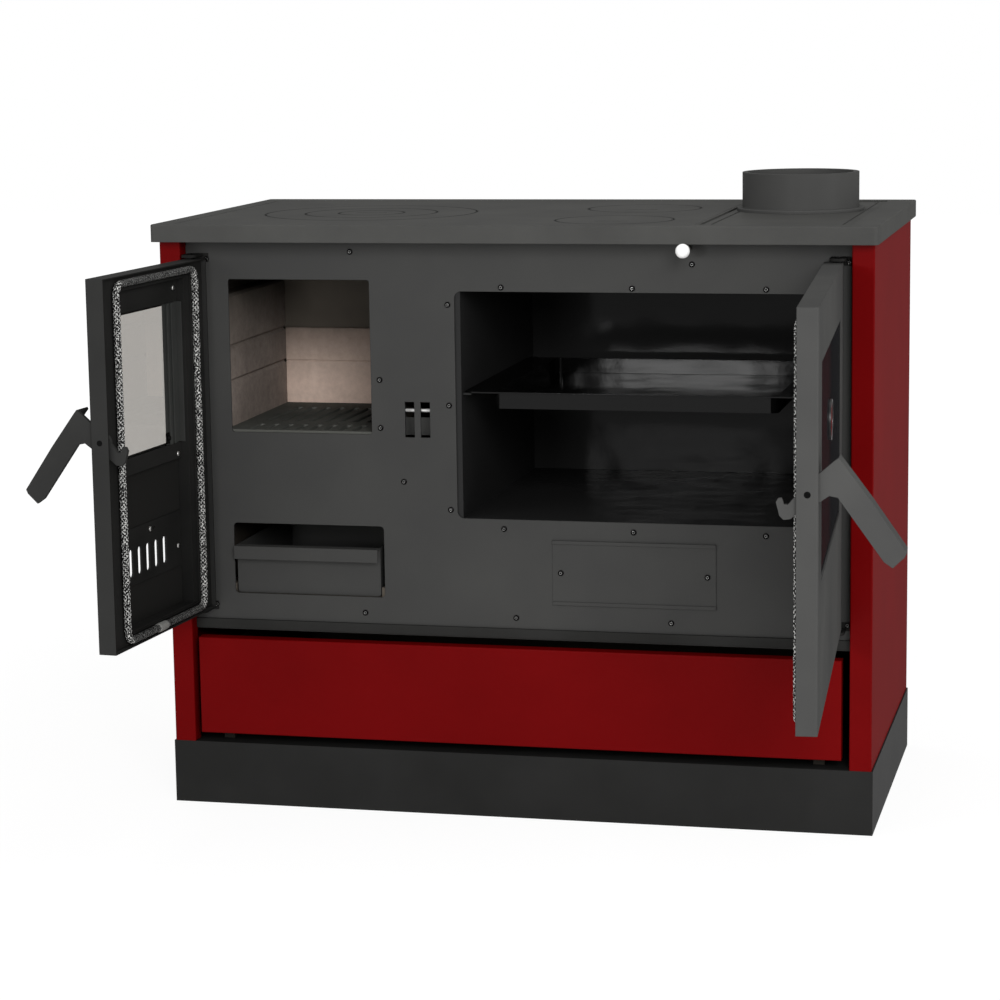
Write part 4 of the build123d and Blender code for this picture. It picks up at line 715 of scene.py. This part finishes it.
def braid_map(mesh, points, length):
    """Lays the braid's own map on the tube: braid turns along it, and once round it."""
    layer = mesh.uv_layers.new(name="braid")
    rings = len(points)
    sides = len(mesh.vertices) // rings
    turns = round(length / BRAID_PITCH)
    for polygon in mesh.polygons:
        corners = [(mesh.loops[i].vertex_index // sides, mesh.loops[i].vertex_index % sides)
                   for i in polygon.loop_indices]
        ring_wraps = max(c[0] for c in corners) - min(c[0] for c in corners) > 1
        side_wraps = max(c[1] for c in corners) - min(c[1] for c in corners) > 1
        for index, (ring, side) in zip(polygon.loop_indices, corners):
            if ring_wraps and ring == 0:
                ring = rings
            if side_wraps and side == 0:
                side = sides
            layer.data[index].uv = (ring * turns / rings, side / sides)
    mesh.uv_layers.active = layer


def make_splice(low, high, radius):
    """The taped joint of the left rope, on its lower leg."""
    part = bmesh.new()
    fullness = radius * SPLICE_FULLNESS
    bmesh.ops.create_cone(part, cap_ends=True, segments=24, radius1=fullness, radius2=fullness,
                          depth=SPLICE_LENGTH)
    long_edges = [edge for edge in part.edges if edge.calc_length() > SPLICE_LENGTH * 0.9]
    bmesh.ops.subdivide_edges(part, edges=long_edges, cuts=SPLICE_CUTS)
    for vertex in part.verts:
        wind = math.atan2(vertex.co.y, vertex.co.x) * 2.0
        ripple = 1.0 + SPLICE_RIPPLE * math.sin(vertex.co.z * RIPPLES_PER_METRE + wind)
        vertex.co.x *= ripple
        vertex.co.y *= ripple
    centre = ((low.x + high.x) / 2 + SPLICE_OFFSET, (low.y + high.y) / 2, low.z + radius)
    place = LEFT_TURN @ Matrix.Translation(centre) @ Matrix.Rotation(math.pi / 2, 4, "Y")
    bmesh.ops.transform(part, matrix=place, verts=part.verts)
    tape = plain_paint("rope_tape", (0.20, 0.20, 0.19), 0.8)
    add_piece("rope_splice", part, tape, "left_door", smooth=True)


def make_rope_lips(name, low, high, radius, turn, body):
    """Thin folded lips that keep the rope in its channel."""
    lips = bmesh.new()
    inward = 2.0 * radius + LIP_GAP
    add_rim(lips, (low.x + inward, low.y, low.z + inward),
            (high.x - inward, low.y + LIP_HEIGHT, high.z - inward), LIP_THICKNESS, LIP_EASE)
    bmesh.ops.transform(lips, matrix=turn, verts=lips.verts)
    add_piece(name, lips, INNER_PAINT, body)


# Windows

def make_window_strip():
    """The folded strip that holds the firebox pane along its hinge side, with its two ribs."""
    low, high = shut_box("left_door_glass", LEFT_TURN)
    face, top = high.y, high.y + STRIP_THICKNESS
    x0, x1 = low.x + STRIP_GAP, low.x + STRIP_WIDTH
    z0, z1 = low.z + STRIP_END, high.z - STRIP_END
    strip = bmesh.new()
    add_block(strip, (x0, face, z0), (x1, top, z1), STRIP_EASE)
    add_block(strip, (x0, top, z0), (x0 + STRIP_THICKNESS, top + STRIP_RIM, z1), STRIP_EASE)
    rib = x1 - RIB_PLACE
    add_block(strip, (rib, top, z0), (rib + LATCH_RIB_WIDTH, top + LATCH_RIB_HEIGHT, z1), RIB_EASE)
    rib = x0 + RIB_PLACE
    add_block(strip, (rib, top, z0), (rib + HINGE_RIB_WIDTH, top + HINGE_RIB_HEIGHT, z1), RIB_EASE)
    bmesh.ops.transform(strip, matrix=LEFT_TURN, verts=strip.verts)
    add_piece("window_side_strip", strip, STRIP_PAINT, "left_door")
    make_window_clip(x1 + CLIP_LAP, top, z0 + CLIP_LIFT)


def make_window_clip(x1, y0, z0):
    """The clip and rivet at the strip's foot; its plate is square."""
    y1 = y0 + STRIP_THICKNESS
    clip = bmesh.new()
    add_block(clip, (x1 - CLIP_WIDTH, y0, z0), (x1, y1, z0 + CLIP_WIDTH), STRIP_EASE)
    add_screw_head(clip, (x1 - CLIP_WIDTH / 2, y1, z0 + CLIP_WIDTH / 2), (0, 1, 0))
    bmesh.ops.transform(clip, matrix=LEFT_TURN, verts=clip.verts)
    add_piece("window_clip", clip, BLACK_SCREW, "left_door")


def make_window_seal(name, node, turn, body, low_lap, high_lap, level_lap):
    """The flat seal between a pane and the outer skin, inside the pane's edges by its laps."""
    low, high = shut_box(node, turn)
    seal = bmesh.new()
    add_rim(seal, (low.x + low_lap, low.y - SEAL_THICKNESS, low.z + level_lap),
            (high.x - high_lap, low.y, high.z - level_lap), SEAL_WIDTH)
    bmesh.ops.transform(seal, matrix=turn, verts=seal.verts)
    add_piece(name, seal, SEAL_BLACK, body)


# Thermometer

def dial_angle(share):
    """The angle from the top of the dial at a share of its sweep."""
    return math.radians(DIAL_SWEEP * (share - 0.5))


def make_dial_marks():
    """Ticks and plain numbers on the thermometer's dial."""
    low, high = shut_box("thermometer_dial", RIGHT_TURN)
    centre = (low + high) / 2
    centre.y = low.y - MARK_THICKNESS
    radius = (high.z - low.z) / 2
    outer = radius * MARK_OUTER
    marks = bmesh.new()
    for index in range(DIAL_MARKS):
        long_mark = index % MARKS_PER_READING == 0
        inner = radius * (LONG_MARK_INNER if long_mark else SHORT_MARK_INNER)
        width = LONG_MARK_WIDTH if long_mark else SHORT_MARK_WIDTH
        part = bmesh.new()
        bmesh.ops.create_cube(part, size=1.0)
        bmesh.ops.scale(part, vec=(width, MARK_THICKNESS, outer - inner), verts=part.verts)
        bmesh.ops.translate(part, vec=(0, 0, (outer + inner) / 2), verts=part.verts)
        turn = Matrix.Rotation(dial_angle(index / (DIAL_MARKS - 1)), 4, "Y")
        bmesh.ops.transform(part, matrix=Matrix.Translation(centre) @ turn, verts=part.verts)
        merge(marks, part)
    bmesh.ops.transform(marks, matrix=RIGHT_TURN, verts=marks.verts)
    add_piece("dial_ticks", marks, DIAL_WHITE, "right_door")
    for index, reading in enumerate(DIAL_READINGS):
        angle = dial_angle(index / (len(DIAL_READINGS) - 1))
        spot = Vector((math.sin(angle), 0.0, math.cos(angle))) * radius * READING_PLACE
        add_dial_number(f"dial_number_{index}", str(reading), centre + spot)


def add_dial_number(name, number, place):
    """One plain number, upright on the dial."""
    letters = bpy.data.curves.new(name, "FONT")
    letters.body = number
    letters.size = READING_SIZE
    letters.align_x = "CENTER"
    letters.align_y = "CENTER"
    letters.extrude = READING_THICKNESS
    mesh = mesh_of(letters)
    mesh.transform(RIGHT_TURN @ Matrix.Translation(place) @ Matrix.Rotation(math.pi / 2, 4, "X"))
    mesh.materials.append(DIAL_WHITE)
    piece = place_in_scene(name, mesh)
    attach(piece, "right_door")


# Screws

def head_places(node):
    """The middle of each screw head on the fascia, in the plane of its face."""
    heads = []
    for vertex in NODES[node].data.vertices:
        spot = vertex.co
        for head in heads:
            if abs(spot.x - head[0].x) < HEAD_SPAN and abs(spot.z - head[0].z) < HEAD_SPAN:
                head.append(spot)
                break
        else:
            heads.append([spot])
    places = []
    for spots in heads:
        xs, ys, zs = ([spot[axis] for spot in spots] for axis in range(3))
        places.append(((min(xs) + max(xs)) / 2, min(ys), (min(zs) + max(zs)) / 2))
    return places


def make_sockets():
    """The hexagonal sockets of the fascia's button-head screws, in a lighter steel that paints a highlight
    on each black head.
    """
    sockets = bmesh.new()
    for centre in head_places("fascia_screws"):
        part = bmesh.new()
        bmesh.ops.create_cone(part, cap_ends=True, cap_tris=False, segments=6, radius1=SOCKET_RADIUS,
                              radius2=SOCKET_RADIUS, depth=SOCKET_HEIGHT)
        top = top_faces(part)
        bmesh.ops.inset_region(part, faces=top, thickness=SOCKET_RADIUS * SOCKET_RIM, depth=0.0)
        bmesh.ops.inset_region(part, faces=top, thickness=SOCKET_RADIUS * SOCKET_SLOPE,
                               depth=-SOCKET_HEIGHT * SOCKET_SINK)
        place = Matrix.Translation(centre) @ turn_to((0, -1, 0))
        bmesh.ops.transform(part, matrix=place, verts=part.verts)
        merge(sockets, part)
    add_piece("screw_sockets", sockets, SOCKET_GLINT_STEEL, "body")


def make_rear_screws():
    """Screws through the side panels' rear flanges into the back panel."""
    screws = bmesh.new()
    for name in ("left_side_panel", "right_side_panel"):
        low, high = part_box(name)
        left = name == "left_side_panel"
        x = low.x + REAR_SCREW_INSET if left else high.x - REAR_SCREW_INSET
        run = high.z - low.z - 2 * REAR_SCREW_END
        for step in range(REAR_SCREWS):
            z = low.z + REAR_SCREW_END + run * step / (REAR_SCREWS - 1)
            add_screw_head(screws, (x, high.y, z), (0, 1, 0))
    add_piece("rear_screws", screws, BLACK_SCREW, "body")


# Stage, lights and camera

def seen_plainly(tree):
    """1 for the rays of the camera, of gloss and of glass, to which the surround is white."""
    path = tree.nodes.new("ShaderNodeLightPath")
    seen = maths(tree, "MAXIMUM", path.outputs["Is Camera Ray"], path.outputs["Is Glossy Ray"])
    return maths(tree, "MAXIMUM", seen, path.outputs["Is Transmission Ray"])


def mix_shaders(tree, share, first, second, output):
    """Sends the first shader, and the second by its share, to the output's surface."""
    choose = tree.nodes.new("ShaderNodeMixShader")
    tree.links.new(share, choose.inputs["Fac"])
    tree.links.new(first, choose.inputs[1])
    tree.links.new(second, choose.inputs[2])
    tree.links.new(choose.outputs["Shader"], output.inputs["Surface"])


def make_world():
    """A white surround for the camera, gloss and glass, and a soft grey light."""
    world = bpy.data.worlds.new("studio")
    bpy.context.scene.world = world
    world.use_nodes = True
    tree = world.node_tree
    tree.nodes.clear()
    backgrounds = []
    for strength in (SOFT_LIGHT, 1.0):
        background = tree.nodes.new("ShaderNodeBackground")
        background.inputs["Color"].default_value = (1.0, 1.0, 1.0, 1.0)
        background.inputs["Strength"].default_value = strength
        backgrounds.append(background.outputs["Background"])
    mix_shaders(tree, seen_plainly(tree), *backgrounds, tree.nodes.new("ShaderNodeOutputWorld"))


def make_floor():
    """A pale floor that keeps a faint shadow of the stove."""
    mesh = bpy.data.meshes.new("floor")
    part = bmesh.new()
    bmesh.ops.create_grid(part, x_segments=1, y_segments=1, size=FLOOR_REACH)
    part.to_mesh(mesh)
    part.free()
    floor = place_in_scene("floor", mesh)
    material, tree, shader = new_material("pale_floor", (0.9, 0.9, 0.9), 0.9, Specular_IOR_Level=0.0)
    glow = tree.nodes.new("ShaderNodeEmission")
    glow.inputs["Strength"].default_value = FLOOR_GLOW
    away = vector_maths(tree, "LENGTH", object_place(tree))
    fade = remap(tree, away, SHADOW_NEAR, SHADOW_FAR, GLOW_NEAR, 1.0)
    mix_shaders(tree, maths(tree, "MULTIPLY", seen_plainly(tree), fade), shader.outputs["BSDF"],
                glow.outputs["Emission"], tree.nodes["Material Output"])
    mesh.materials.append(material)


def add_softbox(name, place, target, size, power):
    """A rectangular lamp that looks at a point and isn't seen itself."""
    lamp = bpy.data.lights.new(name, "AREA")
    lamp.shape = "RECTANGLE"
    lamp.size, lamp.size_y = size
    lamp.energy = power
    holder = place_in_scene(name, lamp)
    holder.location = place
    holder.visible_camera = False
    aim = Vector(target) - Vector(place)
    holder.rotation_euler = aim.to_track_quat("-Z", "Y").to_euler()


def make_camera():
    """The photograph's camera."""
    camera = bpy.data.cameras.new("camera")
    camera.sensor_width = SENSOR_WIDTH
    camera.lens = CAMERA_LENS
    camera.clip_end = CAMERA_REACH
    holder = place_in_scene("camera", camera)
    turn = Matrix.Rotation(math.radians(CAMERA_YAW), 4, "Z")
    turn = turn @ Matrix.Rotation(math.radians(90.0 - CAMERA_PITCH), 4, "X")
    turn = turn @ Matrix.Rotation(math.radians(CAMERA_ROLL), 4, "Z")
    holder.matrix_world = Matrix.Translation(CAMERA_PLACE) @ turn
    bpy.context.scene.camera = holder


make_camera()
make_world()
make_floor()
for lamp_settings in LAMPS:
    add_softbox(*lamp_settings)

finish_nodes()
rope_low, rope_high, rope_radius = make_rope("left_rope", "left_door_gasket", LEFT_TURN, "left_door",
                                             sooty_legs=True)
make_splice(rope_low, rope_high, rope_radius)
make_rope_lips("left_rope_lips", rope_low, rope_high, rope_radius, LEFT_TURN, "left_door")
rope_low, rope_high, rope_radius = make_rope("right_rope", "right_door_gasket", RIGHT_TURN, "right_door",
                                             sooty_legs=False)
make_rope_lips("right_rope_lips", rope_low, rope_high, rope_radius, RIGHT_TURN, "right_door")
make_window_strip()
make_window_seal("left_window_seal", "left_door_glass", LEFT_TURN, "left_door",
                 low_lap=0.004, high_lap=0.008, level_lap=0.008)
make_window_seal("right_window_seal", "right_door_glass", RIGHT_TURN, "right_door",
                 low_lap=0.005, high_lap=0.005, level_lap=0.005)
make_dial_marks()
make_sockets()
make_rear_screws()

bpy.context.scene.view_settings.view_transform = "Standard"
